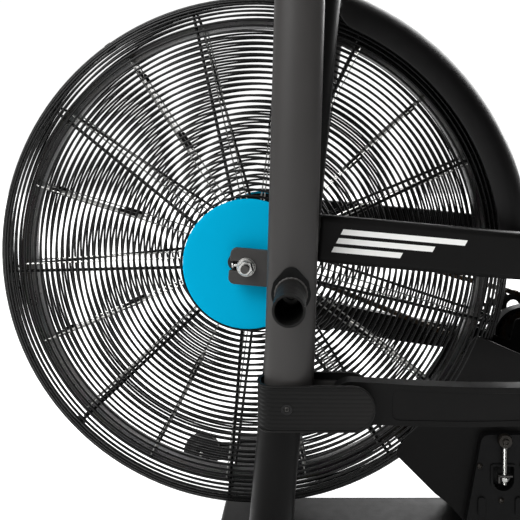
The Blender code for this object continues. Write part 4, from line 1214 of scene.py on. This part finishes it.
def make_peg(side, sign):
    """An open foot peg with a pad where it meets the lever."""
    centre = beside_fan(PIVOT)
    lathe(centre, ACROSS * sign, [
        (PEG_BORE, 0.2260), (PEG_RADIUS, 0.2260), (PEG_RADIUS, PEG_END - 0.0006),
        (PEG_RADIUS - 0.0005, PEG_END), (PEG_BORE + 0.0005, PEG_END), (PEG_BORE, PEG_END - 0.0006)], 72)
    piece(f"peg_tube_{side}", "cover", f"lever_{side}_body")
    pad = arc(PIVOT, 0.0205, math.radians(-200), math.radians(20), 30)
    pad += [(PIVOT[0] + x, PIVOT[1] + z) for x, z in mm(18.5, 12, 6, 26.2, 0, 28.2, -6, 26.2, -18.5, 12)]
    plate([rounded_outline(pad, 0.003), circle(PIVOT, 0.0128, 40)], sign * 0.2262, 0.0040)
    piece(f"peg_pad_{side}", "cover", f"lever_{side}_body", soften=0.0010)


def cover_path(front, rear, middle_y, half, bow, steps=16):
    """From the far face's rear end, round the front, to the near face's rear end."""
    points = [(rear, middle_y - half)]
    centre = front + bow
    for i in range(steps + 1):
        turn = -math.pi / 2 - math.pi * i / steps
        points.append((centre + bow * math.cos(turn), middle_y + half * math.sin(turn)))
    points.append((rear, middle_y + half))
    return points


def make_lever_cover(side, sign):
    """A ribbed belt-like cover round the lever's foot, rounded at its rear end."""
    z_middle, half_height, rear = -0.1308, 0.0238, 0.1175
    middle_y, half_depth, wall = 0.2095, 0.0232, 0.0028
    body = f"lever_{side}_body"
    ribs, fine = 11, 6
    rows = ribs * fine
    grids = []
    for inset, bow in ((0.0, 0.016), (wall, 0.013)):
        grid = []
        for i in range(rows + 1):
            z = -half_height + 2 * half_height * i / rows
            reach = rear + math.sqrt(max(0.0, half_height ** 2 - z * z)) - 0.0002
            ribbed = not inset and min(i, rows - i) > 3
            wave = 0.0005 * abs(math.sin(math.pi * i / fine)) if ribbed else 0.0
            row = cover_path(0.0195 + inset - wave, reach, middle_y, half_depth - 0.0005 - inset + wave, bow)
            grid.append([PEN.verts.new(at(x, sign * y, z_middle + z)) for x, y in row])
        grids.append(grid)
    outer, inner = grids
    for grid in grids:
        for lower, upper in zip(grid, grid[1:]):
            strip(lower, upper)
    for end in (0, -1):
        strip(outer[end], inner[end])
        strip([row[end] for row in outer], [row[end] for row in inner])
    piece(f"cover_shell_{side}", "cover", body, f"lever_cover_{side}", angle=50)
    height, depth = half_height - 0.0007, half_depth - 0.0003
    row = cover_path(0.0195, rear, middle_y, depth, 0.016)
    upper, lower = ([at(x, sign * y, z_middle + way * height) for x, y in row] for way in (1, -1))
    near_end, far_end = (
        [at(x, sign * (middle_y + way * depth), z)
         for x, z in arc((rear, z_middle), height, way * math.pi / 2, -way * math.pi / 2, 20)]
        for way in (1, -1))
    tube(upper[:-1] + near_end + lower[::-1][1:-1] + far_end[:-1], 0.0011, 8, closed=True, up=UP)
    piece(f"cover_border_{side}", "cover", body, angle=60)
    seat = middle_y + half_depth
    # The rim takes the shroud's deeper black, darker than the cover round it: painted shade for the screw's
    # recess.
    lathe(at(0.0507, 0, z_middle), ACROSS * sign, [
        (0.0, seat - 0.0016), (0.0034, seat - 0.0016), (0.0036, seat + 0.0003), (0.0055, seat + 0.0006),
        (0.0060, seat - 0.0010), (0.0060, seat - 0.0026), (0.0, seat - 0.0026)], 30)
    piece(f"cover_screw_rim_{side}", "gloss_plastic", body)
    lathe(at(0.0507, 0, z_middle), ACROSS * sign, [
        (0.0, seat - 0.0018), (0.0032, seat - 0.0018), (0.0029, seat - 0.0004), (0.0014, seat + 0.0001),
        (0.0012, seat - 0.0009), (0.0, seat - 0.0009)], 24)
    piece(f"cover_screw_{side}", "dark_steel", body)
    make_yoke(side, sign, body)


def make_yoke(side, sign, body):
    """Two cheeks inside the cover that carry the link's pin."""
    pin = LINK_PIVOTS["left"]
    root = (lever_x(pin[1]), pin[1])
    for y in (0.1935, 0.2225):
        plate([belt_outline(root, 0.0175, pin, 0.0150, 20)], sign * y, 0.0056)
    piece(f"yoke_cheeks_{side}", "lever", body, soften=0.0010)
    lathe(beside_fan(pin), ACROSS * sign, drum(0.0058, 0.1905, 0.2285, 0.0008), 24)
    piece(f"yoke_pin_{side}", "zinc", body)


def make_link(side, sign):
    """The connecting bar from the lever's foot to the crank, with a recessed web."""
    start, end = Vector(LINK_PIVOTS[side]), Vector(crank_pin(side))
    count, sag = 16, 0.012
    front_half, rear_half, border = 0.0225, 0.0175, 0.0060

    def edge(share, inset, way):
        centre = start.lerp(end, share) - Vector((0, sag * math.sin(math.pi * share)))
        half = front_half + (rear_half - front_half) * share - inset
        return centre.x, centre.y + way * half

    upper = [edge(i / count, 0, 1) for i in range(count + 1)]
    lower = [edge(i / count, 0, -1) for i in range(count + 1)]
    front = arc(start, front_half, math.pi / 2, 3 * math.pi / 2, 16)[1:-1]
    rear = arc(end, rear_half, -math.pi / 2, math.pi / 2, 16)[1:-1]
    outline = lower + rear + upper[::-1] + front
    shares = [0.105 + 0.80 * i / 12 for i in range(13)]
    panel = [edge(s, border, -1) for s in shares] + [edge(s, border, 1) for s in reversed(shares)]
    bore = circle(start, 0.0064, 24)
    plate([outline, bore, rounded_outline(panel, 0.008, 6)], sign * LEVER_Y, 0.018)
    plate([rounded_outline(panel, 0.004, 4)], sign * LEVER_Y, 0.0162)
    piece(f"link_web_{side}", "frame", f"link_{side}_body", f"link_bar_{side}", soften=0.0016)
    place = at(end.x, 0, end.y)
    lathe(place, ACROSS * sign, drum(0.013, 0.1912, 0.2248, 0.0012), 40)
    piece(f"link_end_bush_{side}", "dark_steel", f"link_{side}_body")


# Floor frame
def make_floor_frame():
    beam_low, beam_high = low("floor_beam"), high("floor_beam")
    overlap = Vector((0.0015, 0, 0))
    block(beam_high - beam_low + 2 * overlap, (beam_low + beam_high) / 2)
    piece("beam_tube", "frame", "frame", "floor_beam", soften=0.007, segments=4)
    for end in ("front", "rear"):
        node = f"{end}_stabiliser"
        block(high(node) - low(node), middle(node))
        piece(f"{end}_foot_tube", "frame", "frame", node, soften=0.008, segments=4)
    half_y, top, bottom = beam_high.y - 0.006, beam_high.z - 0.0010, beam_low.z
    for x in (beam_low.x, beam_high.x):
        for sign in (-1, 1):
            y = sign * (half_y + 0.0055)
            points = [Vector((x, y, bottom + 0.004 + (top - bottom - 0.016) * i / 16)) for i in range(17)]
            weld(points, 0.0022, closed=False)
        points = [Vector((x, -half_y + 2 * half_y * i / 22, high("front_stabiliser").z + 0.0008))
                  for i in range(23)]
        weld(points, 0.0022, closed=False)
    piece("beam_welds", "frame", "frame", angle=60)
    for side in ("left", "right"):
        make_front_cap(side)
        make_rear_cap(side)


def make_front_cap(side):
    """A moulded end cap with two cheeks that hold a transport wheel."""
    node = f"front_end_cap_{side}"
    low_corner, high_corner = low(node), high(node)
    body_low = Vector((low("front_stabiliser").x - 0.003, low_corner.y, low_corner.z))
    centre = (high_corner + body_low) / 2
    block(high_corner - body_low, centre)
    piece(f"front_cap_{side}", "plastic", "frame", node, soften=0.006, segments=4)
    axis = pivot(f"transport_wheel_{side}_spin")
    x, z = from_fan(axis)
    rear = low("front_stabiliser").x - FAN.x + 0.010
    cheek = [(rear, z - 0.012), (rear, z + 0.012)]
    cheek += arc((x, z), 0.0122, math.pi / 2, 3 * math.pi / 2, 14)
    for way in (-1, 1):
        plate([cheek], centre.y + way * 0.0095, 0.0050)
    piece(f"wheel_cheeks_{side}", "plastic", "frame", soften=0.0012)
    hub = Vector((axis.x, centre.y, axis.z))
    lathe(hub, ACROSS, drum(0.0040, -0.0128, 0.0128, 0.0008), 20)
    piece(f"wheel_pin_{side}", "zinc", "frame")
    tread = mm(
        4.3, -6, 9.5, -6, 10, -4, 25, -4, 26, -6, 31.7, -6, 33, -4.6, 33, -1.2, 32.1, -0.6, 32.1, 0.6)
    tread += [(radius, -along) for radius, along in reversed(tread[:-2])]
    lathe(hub, ACROSS, tread, 48)
    piece(f"wheel_tyre_{side}", "rubber", f"wheel_{side}_body", f"transport_wheel_{side}")


def make_rear_cap(side):
    node = f"rear_end_cap_{side}"
    block(high(node) - low(node), middle(node))
    piece(f"rear_cap_{side}", "plastic", "frame", node, soften=0.006, segments=4)
    turn_axis = pivot(f"rear_foot_{side}_turn")
    foot = Vector((turn_axis.x, turn_axis.y, 0))
    lathe(foot, UP, mm(
        0, 0, 19.5, 0, 21, 1.5, 21, 4, 19.8, 4.8, 19.8, 5.8, 21, 6.6, 21, 9.5, 19, 11.8, 0, 11.8), 40)
    piece(f"foot_pad_{side}", "rubber", f"foot_{side}_body", f"rear_foot_{side}")
    lathe(foot, UP, drum(0.0050, 0.0116, 0.040, 0.0006), 20)
    lathe(foot, UP, collar(0.0085, 0.0045, 0.0120, 0.0175, 0.0006), 6)
    piece(f"foot_stem_{side}", "zinc", f"foot_{side}_body")


# Seat
SEAT_TUBE_LENGTH = 0.470
POST = 0.038
POST_LENGTH = 0.440
POST_IN = 0.150
SEAT_AXIS = Vector((math.sin(SEAT_LEAN), 0, math.cos(SEAT_LEAN)))
SEAT_FOOT = at(0.585, 0, high("floor_beam").z - FAN.z + 0.0055)


def seat_place(along):
    """A place on the seat tube's axis, with local Z along it."""
    return move(SEAT_FOOT + SEAT_AXIS * along) @ spin(SEAT_LEAN, "Y")


def rectangle(low_x, high_x, low_y, high_y, radius, steps=5):
    corners = [(high_x, high_y), (low_x, high_y), (low_x, low_y), (high_x, low_y)]
    return rounded_outline(corners, radius, steps)


def rounded_box(half_x, half_y, radius):
    return rectangle(-half_x, half_x, -half_y, half_y, radius, 6)


def dense(loop, step=0.003):
    """A closed loop with points added until they are about a step apart."""
    made = []
    for i, point in enumerate(loop):
        following = loop[(i + 1) % len(loop)]
        parts = max(1, round((following - point).length / step))
        made += [point.lerp(following, k / parts) for k in range(parts)]
    return made


def make_seat_tube():
    hollow = rounded_box(POST / 2 + 0.0006, POST / 2 + 0.0006, 0.002)
    sleeve = rounded_box(0.030, 0.0255, 0.006)
    flat([sleeve, hollow], SEAT_TUBE_LENGTH, seat_place(SEAT_TUBE_LENGTH / 2))
    piece("seat_sleeve", "frame", "frame", "seat_tube", soften=0.0008)
    flat([rounded_box(0.0335, 0.0290, 0.008), hollow], 0.022, seat_place(SEAT_TUBE_LENGTH - 0.0108))
    piece("seat_sleeve_collar", "plastic", "frame", soften=0.002)
    foot_z = high("floor_beam").z + 0.001
    foot = [Vector((SEAT_FOOT.x + x, y, foot_z)) for x, y in rounded_box(0.0305, 0.0260, 0.006)]
    weld(dense(foot), 0.0025)
    piece("seat_tube_weld", "frame", "frame", angle=60)


def make_post():
    """A square tube with a row of pin holes front and rear, and the rail it carries."""
    wall, half = 0.003, POST / 2
    centre = SEAT_TUBE_LENGTH - POST_IN + POST_LENGTH / 2
    holes = [circle((-POST_LENGTH / 2 + 0.045 + 0.025 * i, 0), 0.0052, 20) for i in range(15)]
    reach = POST_LENGTH / 2
    side = [(-reach, -half), (reach, -half), (reach, half), (-reach, half)]
    stand = seat_place(centre) @ spin(-math.pi / 2, "Y")
    for way in (-1, 1):
        flat([side] + holes, wall, stand @ move((0, 0, way * (half - wall / 2))))
        block((2 * half - 2 * wall, wall, POST_LENGTH),
              seat_place(centre) @ move((0, way * (half - wall / 2), 0)))
    piece("post_tube", "chrome", "seat_post_body", "seat_post", soften=0.0012)
    rail = middle("seat_slider")
    block((0.206, 0.0515, 0.0275), rail)
    piece("saddle_rail", "chrome", "seat_post_body", soften=0.004, segments=4)
    for way in (-1, 1):
        block((0.0040, 0.0520, 0.0280), rail + Vector((way * 0.1030, 0, 0)))
    piece("rail_end_plugs", "plastic", "seat_post_body", soften=0.0018)
    top = seat_place(SEAT_TUBE_LENGTH - POST_IN + POST_LENGTH - 0.004)
    points = []
    for x, y in rounded_box(0.0196, 0.0192, 0.003):
        place = top @ Vector((x, y, 0))
        points.append(Vector((place.x, place.y, rail.z - 0.0150)))
    weld(dense(points), 0.0022)
    piece("rail_weld", "chrome", "seat_post_body", angle=60)


def knob(place, axis, sizes, start, end, lobes=8):
    """A lobed grip that widens outwards, with rounded ends."""
    first = len(PEN.verts)
    axis, u, v = axes(axis)
    narrow, wide = sizes
    profile = [(0.0, start), (narrow * 0.8, start), (narrow, start + 0.0015)]
    profile += [(wide, end - 0.0040), (wide * 0.96, end - 0.0014), (wide * 0.80, end),
                (wide * 0.45, end - 0.0008), (0.0, end - 0.0010)]
    lathe(place, axis, profile, lobes * 10)
    PEN.verts.ensure_lookup_table()
    for vertex in PEN.verts[first:]:
        offset = vertex.co - place
        out = offset - axis * offset.dot(axis)
        if out.length > narrow * 0.85:
            turn = math.atan2(out.dot(v), out.dot(u))
            vertex.co -= out * (0.10 * (0.5 - 0.5 * math.cos(lobes * turn)))


def make_knobs():
    across = Vector((math.cos(SEAT_LEAN), 0, -math.sin(SEAT_LEAN)))
    place = SEAT_FOOT + SEAT_AXIS * (SEAT_TUBE_LENGTH - 0.045)
    knob(place, across, (0.0140, 0.0170), 0.0350, 0.0560)
    piece("post_knob_grip", "plastic", "post_knob_body", "post_knob")
    lathe(place, across, drum(0.0048, 0.0194, 0.0355, 0.0006), 20)
    lathe(place, across, collar(0.0095, 0.0046, 0.0302, 0.0350, 0.0008), 6)
    piece("post_knob_pin", "zinc", "post_knob_body")
    rail = middle("seat_slider")
    knob(rail, -ACROSS, (0.0130, 0.0160), 0.0400, 0.0610, 7)
    piece("slider_knob_grip", "plastic", "slider_knob_body", "slider_knob")
    lathe(rail, -ACROSS, drum(0.0040, 0.0264, 0.0405, 0.0006), 20)
    lathe(rail, -ACROSS, collar(0.0085, 0.0038, 0.0364, 0.0400, 0.0008), 6)
    piece("slider_knob_pin", "zinc", "slider_knob_body")


def make_slider():
    """A folded channel that runs on the rail, with a plate for the saddle on top."""
    rail = middle("seat_slider")
    section = mm(
        -36, -25, -20.3, -25, -20.3, -14.6, -26.5, -14.6, -26.5, 14.6, 26.5, 14.6, 26.5, -14.6,
        20.3, -14.6, 20.3, -25, 36, -25, 36, 25, -36, 25)
    stand = move(rail) @ spin(math.pi / 2, "Z") @ spin(math.pi / 2, "X")
    flat([section], 0.090, stand)
    piece("slider_channel", "frame", "seat_slider_body", "seat_slider", soften=0.0018)
    for way in (-1, 1):
        for sign in (-1, 1):
            bolt(rail + Vector((way * 0.030, sign * 0.036, 0.012)), ACROSS * sign, 0.0048, 0.0040)
    piece("slider_bolts", "zinc", "seat_slider_body")


def saddle_outline(grow=0.0):
    """A broad rear, a waist and a rounded nose that points at the fan; smooth all round."""
    centre = middle("saddle").x
    nose, half = 0.135 + grow, 0.1075 + grow
    side = [(nose, 0.0), (nose - 0.003, 0.040), (nose - 0.020, 0.080), (nose - 0.060, half),
            (nose - 0.110, half - 0.012), (nose - 0.160, 0.060 + grow), (nose - 0.215, 0.036 + grow),
            (-nose + 0.014, 0.027 + grow), (-nose + 0.002, 0.012)]
    loop = side + [(x, -y) for x, y in reversed(side[1:])]
    points = [Vector((centre + x, y, 0)) for x, y in loop]
    closed = smooth_path([points[-2], points[-1]] + points + [points[0], points[1]], 6)
    return closed[12:12 + 6 * len(points)]


def cushion_shape(base, height):
    """The cushion before it swells: a crowned form, dished along its middle."""
    outline = saddle_outline(-0.005)
    centre = middle("saddle").x + 0.030
    rings = []
    for share, scale in ((0.0, 0.95), (0.06, 0.985), (0.20, 1.0), (0.46, 1.0), (0.66, 0.97), (0.82, 0.89),
                         (0.93, 0.74), (0.985, 0.50), (1.0, 0.22)):
        ring = []
        for point in outline:
            x = centre + (point.x - centre) * scale
            y = point.y * scale
            rise = 0.004 * math.cos((x - centre) / 0.075) + 0.003 * max(0.0, (x - centre) / 0.10)
            groove = 0.004 * math.exp(-(y / 0.010) ** 2) * min(1.0, share * 1.2)
            ring.append(PEN.verts.new((x, y, base + height * share + rise * share - groove * share)))
        rings.append(ring)
    for first, second in zip(rings, rings[1:]):
        bridge(first, second)
    PEN.faces.new(rings[0])
    PEN.faces.new(rings[-1])
    bmesh.ops.recalc_face_normals(PEN, faces=PEN.faces)
    return closed_mesh("cushion_start")


def baked(holder):
    """The holder's shape with its modifiers applied, as a new mesh; the modifiers are removed."""
    depsgraph = bpy.context.evaluated_depsgraph_get()
    mesh = bpy.data.meshes.new_from_object(holder.evaluated_get(depsgraph))
    holder.modifiers.clear()
    holder.data = mesh
    return mesh


def make_saddle():
    """A vinyl cushion swollen by cloth simulation, on a moulded pan, with piping and stitches."""
    base = low("saddle").z
    top = high("saddle").z
    pan_height = 0.012
    start = cushion_shape(base + pan_height - 0.003, top - base - 0.0170)
    holder = bpy.data.objects.new("saddle_cushion", start)
    bpy.context.scene.collection.objects.link(holder)
    remesh = holder.modifiers.new("even", "REMESH")
    remesh.mode = "VOXEL"
    remesh.voxel_size = 0.005
    bpy.context.view_layer.update()
    mesh = baked(holder)
    swell(holder, mesh, base + pan_height + 0.002, top - 0.0012)
    holder.data.materials.clear()
    holder.data.materials.append(LOOKS["vinyl"][0])
    holder.data.shade_smooth()
    finer = holder.modifiers.new("finer", "SUBSURF")
    finer.levels = finer.render_levels = 1
    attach(holder, "seat_slider_body")
    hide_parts("saddle")
    outline = [(point.x, point.y) for point in saddle_outline(-0.004)]
    flat([outline], pan_height, move((0, 0, base + pan_height / 2)))
    piece("saddle_pan", "plastic", "seat_slider_body", soften=0.0030, segments=4)
    line = [Vector((point.x, point.y, base + pan_height + 0.0006)) for point in saddle_outline(-0.0036)]
    tube(line, 0.0020, 10, closed=True, up=UP)
    piece("saddle_piping", "vinyl", "seat_slider_body", angle=60)
    make_stitches(holder, top)


def swell(holder, mesh, held_below, ceiling):
    """Inflates the cushion as pressurised cloth; its foot is held and no point moves far."""
    furthest = 0.006
    start = [vertex.co.copy() for vertex in mesh.vertices]
    group = holder.vertex_groups.new(name="held")
    group.add([i for i, place in enumerate(start) if place.z < held_below], 1.0, "REPLACE")
    cloth = holder.modifiers.new("cloth", "CLOTH")
    cloth.settings.use_pressure = True
    cloth.settings.uniform_pressure_force = 4.0
    cloth.settings.effector_weights.gravity = 0.0
    cloth.settings.vertex_group_mass = "held"
    for step in range(1, 21):
        bpy.context.scene.frame_set(step)
    moved = baked(holder)
    for vertex, place in zip(moved.vertices, start):
        offset = vertex.co - place
        if offset.length > furthest:
            vertex.co = place + offset * (furthest / offset.length)
        vertex.co.z = min(vertex.co.z, ceiling)
    bpy.context.scene.frame_set(1)


def make_stitches(holder, top):
    """Two rows of stitches let into the top of the cushion."""
    bpy.context.view_layer.update()
    depsgraph = bpy.context.evaluated_depsgraph_get()
    shown = holder.evaluated_get(depsgraph)
    to_local = holder.matrix_world.inverted()
    centre = middle("saddle").x + 0.030
    for scale in (0.80, 0.765):
        line = []
        for point in saddle_outline(-0.005):
            above = Vector((centre + (point.x - centre) * scale, point.y * scale, top + 0.05))
            hit, place = shown.ray_cast(to_local @ above, Vector((0, 0, -1)))[:2]
            if hit:
                line.append(holder.matrix_world @ place)
        for start, end in stitch_spots(line, 0.0052):
            tube([start, (start + end) / 2 + Vector((0, 0, 0.0005)), end], 0.00055, 6, up=UP)
    piece("saddle_stitches", "thread", "seat_slider_body", angle=60)


def stitch_spots(line, pitch):
    """(start, end) of each stitch along a closed line."""
    spots, along, following = [], 0.0, 0.0
    for i, point in enumerate(line):
        after = line[(i + 1) % len(line)]
        length = (after - point).length
        while following < along + length:
            share = (following - along) / length
            start = point.lerp(after, share)
            way = (after - point).normalized()
            spots.append((start, start + way * (pitch * 0.62)))
            following += pitch
        along += length
    return spots


# Console
CONSOLE_TILT = math.radians(52)
CONSOLE_HALF = (0.075, 0.1075)
CONSOLE_FACE = 0.017
WELL_DEPTH = 0.0045


def console_place(x=0.0, y=0.0, z=0.0):
    """A place on the console: x runs down its face, y across it and z out of it."""
    turned = spin(CONSOLE_TILT, "Y")
    return move(at(0.168, 0, 0.738)) @ turned @ move((x, y, z))


def make_console():
    """The console: its shell, screen, buttons and the parts that hold it."""
    outline = rounded_box(*CONSOLE_HALF, 0.016)
    wells = [circle((0.050, y), 0.0118, 32) for y in (-0.035, 0.035)]
    window = rectangle(-0.058, 0.022, -0.088, 0.088, 0.006)
    floor = CONSOLE_FACE - WELL_DEPTH
    flat([outline], floor + CONSOLE_FACE, console_place(z=(floor - CONSOLE_FACE) / 2))
    piece("console_shell", "plastic", "frame", "console", soften=0.0045, segments=4)
    bezel = [rounded_box(0.0735, 0.1060, 0.015), window] + wells
    flat(bezel, WELL_DEPTH, console_place(z=floor + WELL_DEPTH / 2))
    piece("console_bezel", "cover", "frame", soften=0.0012)
    glass = rectangle(-0.0575, 0.0215, -0.0875, 0.0875, 0.006)
    flat([glass], 0.0015, console_place(z=floor + 0.0010))
    piece("console_screen", "screen", "frame", soften=0.0004)
    face = console_place(z=floor + 0.0018)
    for i in range(16):
        height = 0.010 + 0.014 * abs(math.sin(i * 0.9))
        x = -0.030 - height / 2 + 0.012
        block((height, 0.0046, 0.0002), face @ move((x, -0.068 + 0.0068 * i, 0)))
    for turn in turns(24):
        place = face @ move((-0.020 + 0.022 * math.sin(turn), 0.062 + 0.022 * math.cos(turn), 0))
        block((0.0022, 0.0022, 0.0002), place)
    for x in (-0.002, 0.008):
        for y in (-0.060, -0.020, 0.020):
            block((0.0030, 0.026, 0.0002), face @ move((x, y, 0)))
    piece("console_marks", "segments", "frame")
    for name, y, look in (("start", -0.035, "green"), ("stop", 0.035, "red")):
        button = console_place(0.050, y, CONSOLE_FACE)
        axis = button.to_3x3() @ UP
        lathe(button.translation, axis, mm(0, -2, 11, -2, 11, 1.4, 10, 2.6, 6, 2.2, 0, 1.9), 40)
        piece(f"button_{name}_cap", look, f"button_{name}_body", f"console_button_{name}")
        mark = mm(-3.4, -3.4, -3.4, 3.4, 3.4, 3.4, 3.4, -3.4)
        if name == "start":
            mark = [on_circle((0, 0), 0.0042, turn) for turn in turns(3, math.pi / 2)]
        flat([mark], 0.0008, button @ move((0, 0, 0.0022)))
        piece(f"button_{name}_mark", "pale", f"button_{name}_body")
    back = console_place().to_3x3() @ Vector((0, 0, -1))
    for x in (-0.060, 0.060):
        for y in (-0.090, 0.090):
            screw(console_place(x, y, -CONSOLE_FACE).translation, back, 0.0036)
    piece("console_screws", "dark_steel", "frame")
    flat([rounded_box(0.028, 0.032, 0.008)], 0.012, console_place(x=0.010, z=-CONSOLE_FACE - 0.0055))
    piece("console_bracket", "frame", "frame", soften=0.0025)


# Studio
def make_studio():
    """Camera, sky and lights."""
    scene = bpy.context.scene
    scene.view_settings.view_transform = "Standard"
    lens = bpy.data.cameras.new("camera")
    lens.lens = 42.9
    lens.sensor_width = 36.0
    lens.shift_x = -0.0931
    lens.shift_y = -0.149
    lens.dof.use_dof = False
    camera = bpy.data.objects.new("camera", lens)
    camera.location = (FAN.x + 0.0728, -0.86, FAN.z + 0.118)
    camera.rotation_euler = (math.radians(88.5), 0, 0)
    scene.collection.objects.link(camera)
    scene.camera = camera
    for name, strength, spread, turn in (
            ("key", 1.75, 35, (28, -32, 0)), ("front", 0.95, 40, (62, 0, -35)),
            ("edge", 3.4, 50, (-46, 40.4, 0))):
        light = bpy.data.lights.new(name, "SUN")
        light.energy = strength
        light.angle = math.radians(spread)
        lamp = bpy.data.objects.new(name, light)
        lamp.rotation_euler = [math.radians(part) for part in turn]
        scene.collection.objects.link(lamp)
    world = bpy.data.worlds.new("studio")
    scene.world = world
    world.use_nodes = True
    tree = world.node_tree
    tree.nodes.clear()
    seen = add_node(tree, "ShaderNodeBackground", {"Color": (1, 1, 1, 1), "Strength": 1.05})
    heading = add_node(tree, "ShaderNodeTexCoord").outputs["Generated"]
    parts = add_node(tree, "ShaderNodeSeparateXYZ", {"Vector": heading}).outputs
    behind = ranged(tree, parts["Y"], 0.1, 0.9, 0.0, 0.60)
    beside = ranged(tree, parts["X"], -0.9, 0.7, 0.46, 0.03)
    glow = add_node(tree, "ShaderNodeMath", {0: behind, 1: beside}).outputs[0]
    around = add_node(tree, "ShaderNodeBackground", {"Color": (1, 1, 1, 1), "Strength": glow})
    ray = add_node(tree, "ShaderNodeLightPath")
    mixed = tree.nodes.new("ShaderNodeMixShader")
    tree.links.new(ray.outputs["Is Camera Ray"], mixed.inputs[0])
    tree.links.new(around.outputs[0], mixed.inputs[1])
    tree.links.new(seen.outputs[0], mixed.inputs[2])
    out = tree.nodes.new("ShaderNodeOutputWorld")
    tree.links.new(mixed.outputs[0], out.inputs["Surface"])


def make_floor():
    """A pale floor, wide enough to fill every view."""
    bmesh.ops.create_grid(PEN, x_segments=1, y_segments=1, size=12.0)
    mesh = closed_mesh("studio_floor")
    floor = bpy.data.objects.new("studio_floor", mesh)
    floor.location.z = -0.0003
    bpy.context.scene.collection.objects.link(floor)
    paint = surface("floor_paint", (0.80, 0.80, 0.80), 0.85, mottle=0.01, mottle_scale=1.0,
                    grain_scale=200.0)
    shader = paint.node_tree.nodes["Principled BSDF"]
    shader.inputs["Emission Color"].default_value = (1, 1, 1, 1)
    seen = add_node(paint.node_tree, "ShaderNodeLightPath").outputs["Is Camera Ray"]
    paint.node_tree.links.new(ranged(paint.node_tree, seen, 0.0, 1.0, 0.10, 0.62),
                              shader.inputs["Emission Strength"])
    mesh.materials.append(paint)


make_studio()
make_floor()
for side, sign in SIDES:
    make_cage(side, sign)
    make_disc(side, sign)
    make_mast(side, sign)
    make_support_bar(side, sign)
    make_crank(side, sign)
    make_lever(side, sign)
    make_link(side, sign)
make_rim_clips()
make_fan_wheel()
make_axle()
make_axle_adjuster()
make_shroud()
make_bridge()
make_gussets()
make_front_cover()
make_tensioner()
make_drive()
make_floor_frame()
make_seat_tube()
make_post()
make_knobs()
make_slider()
make_saddle()
make_console()
